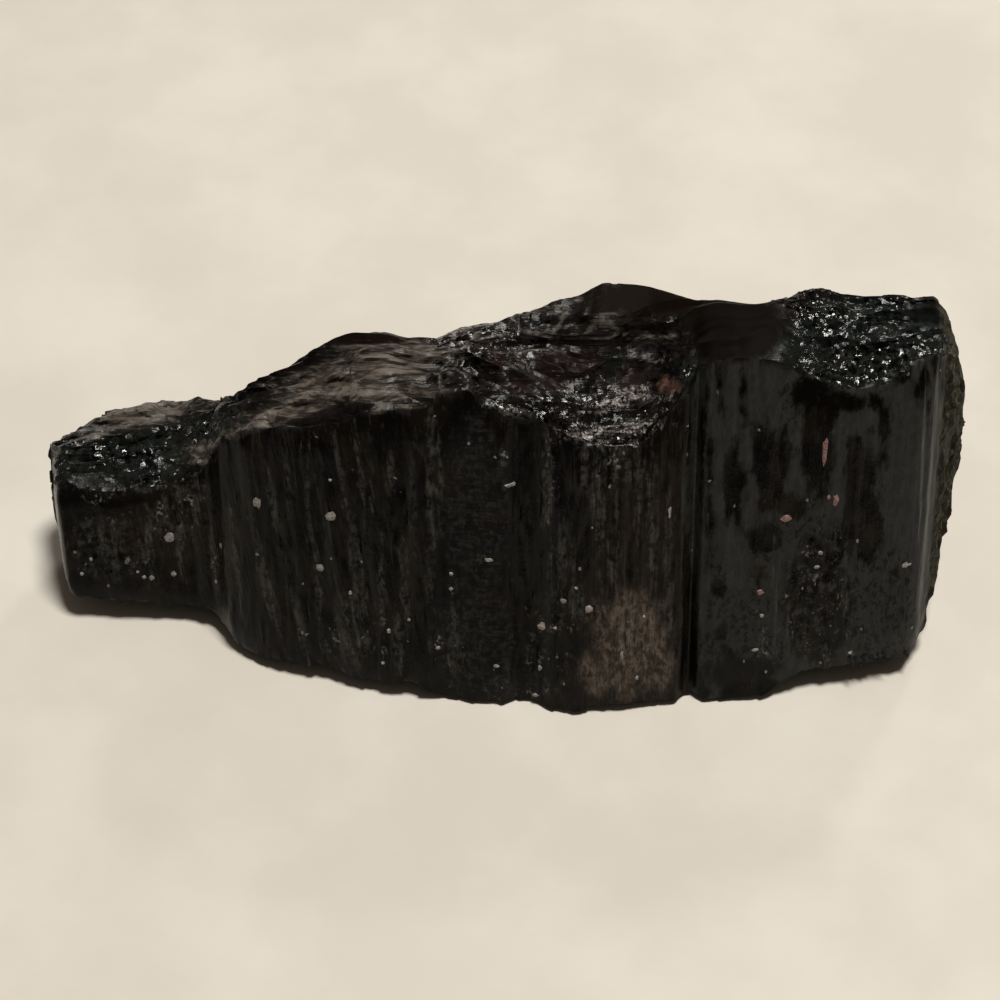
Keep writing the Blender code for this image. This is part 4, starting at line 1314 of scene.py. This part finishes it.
# Name, place and size in metres, power in watts.
SOFT_LIGHTS = (
    ("key", (0.17, 0.10, 1.10), 0.26, 12.0),
    ("second", (0.35, 0.85, 0.70), 0.12, 1.6),
)
LIGHTS_AIM = (0.0, 0.0, 0.02)
SKY_DARK = (0.0, 0.0, 0.0, 1.0)
SKY_COLOUR = (1.0, 0.86, 0.72, 1.0)
SKY_TOP = 0.11
SKY_BACK = 0.07
SKY_FRONT = 0.02
BACKDROP = (0.80, 0.76, 0.70, 1)


def floor_material():
    sh = Material("pale_floor")
    place = sh.scaled(sh.node("NewGeometry", "Position"), 1.0 / MM)
    mottle = sh.noise(place, (22.0, 22.0, 22.0), 4.0, 0.55)
    sh.set("Base Color", sh.mix(sh.step(mottle, 0.35, 0.7), FLOOR_DEEP, FLOOR_PALE))
    sh.set("Roughness", 0.65)
    return sh.material


def make_stage():
    corners = [(x * FLOOR_HALF, y * FLOOR_HALF, 0) for x, y in ((-1, -1), (1, -1), (1, 1), (-1, 1))]
    floor = mesh_object("floor", np.array(corners, float), [(0, 1, 2, 3)])
    floor.data.materials.append(floor_material())
    for name, place, size, power in SOFT_LIGHTS:
        light = bpy.data.lights.new(name, "AREA")
        light.shape = "DISK"
        light.size = size
        light.energy = power
        light.color = LIGHT_COLOUR
        lamp = bpy.data.objects.new(name, light)
        bpy.context.scene.collection.objects.link(lamp)
        lamp.location = place
        aim = Vector(LIGHTS_AIM) - lamp.location
        lamp.rotation_euler = aim.to_track_quat("-Z", "Y").to_euler()


def make_world():
    """Soft light that is strong from above and weak from the side the face looks to."""
    world = bpy.data.worlds.new("soft_room")
    bpy.context.scene.world = world
    world.use_nodes = True
    sky = Tree(world.node_tree)
    where = sky.node("TexCoord", "Generated")
    sideways = sky.node("MapRange", "Result", {
        "Value": sky.part(where, "Y"), "From Min": -0.6, "From Max": 0.8,
        "To Min": SKY_FRONT, "To Max": SKY_BACK,
    })
    level = sky.blend(sky.step(sky.part(where, "Z"), 0.25, 0.95), sideways, SKY_TOP)
    seen = sky.node("LightPath", "Is Camera Ray")
    shown = sky.mix(seen, sky.mix(level, SKY_DARK, SKY_COLOUR), BACKDROP)
    sky.plug(shown, sky.nodes["Background"].inputs["Color"])


def make_camera():
    camera = bpy.data.cameras.new("camera")
    holder = bpy.data.objects.new("camera", camera)
    bpy.context.scene.collection.objects.link(holder)
    camera.lens = LENS
    camera.sensor_width = SENSOR
    camera.clip_start = 0.01
    holder.location = Vector((TARGET + TO_CAMERA * DISTANCE) * MM)
    holder.rotation_euler = Vector(-TO_CAMERA).to_track_quat("-Z", "Y").to_euler()
    bpy.context.scene.camera = holder


# ------------------------------------------------------------------------- the scene
crystal = make_crystal()
crystal.data.materials.append(crystal_material())
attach(crystal, "root")
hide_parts("tourmaline_crystal")

surface = BVHTree.FromObject(crystal, bpy.context.evaluated_depsgraph_get())
for grain_name, grain_places, pale, deep, roughness, salt in (
    ("pale_grains", PALE_GRAINS, (0.33, 0.312, 0.285, 1), (0.16, 0.148, 0.130, 1), 0.35, 21),
    ("pearly_grains", PEARLY_GRAINS, (0.42, 0.36, 0.335, 1), (0.24, 0.195, 0.180, 1), 0.30, 22),
    ("rose_grains", ROSE_GRAINS, (0.32, 0.195, 0.180, 1), (0.16, 0.070, 0.066, 1), 0.35, 23),
):
    grain = grains(grain_name, grain_places, surface, salt)
    grain.data.materials.append(mottled_material(
        grain_name, deep, pale, (0.25, 0.25, 0.25), 4.0, (0.35, 0.68), roughness, 0.06
    ))
    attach(grain, "root")

splinters = foot_splinters(surface)
splinters.data.materials.append(mottled_material(
    "splinter_schorl", SLATE, SLATE_LIGHT, (0.15, 0.4, 0.6), 3.0, (0.4, 0.65), 0.25, 0.04, 0.10
))
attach(splinters, "root")

make_stage()
make_world()
make_camera()
bpy.context.scene.view_settings.view_transform = "Standard"
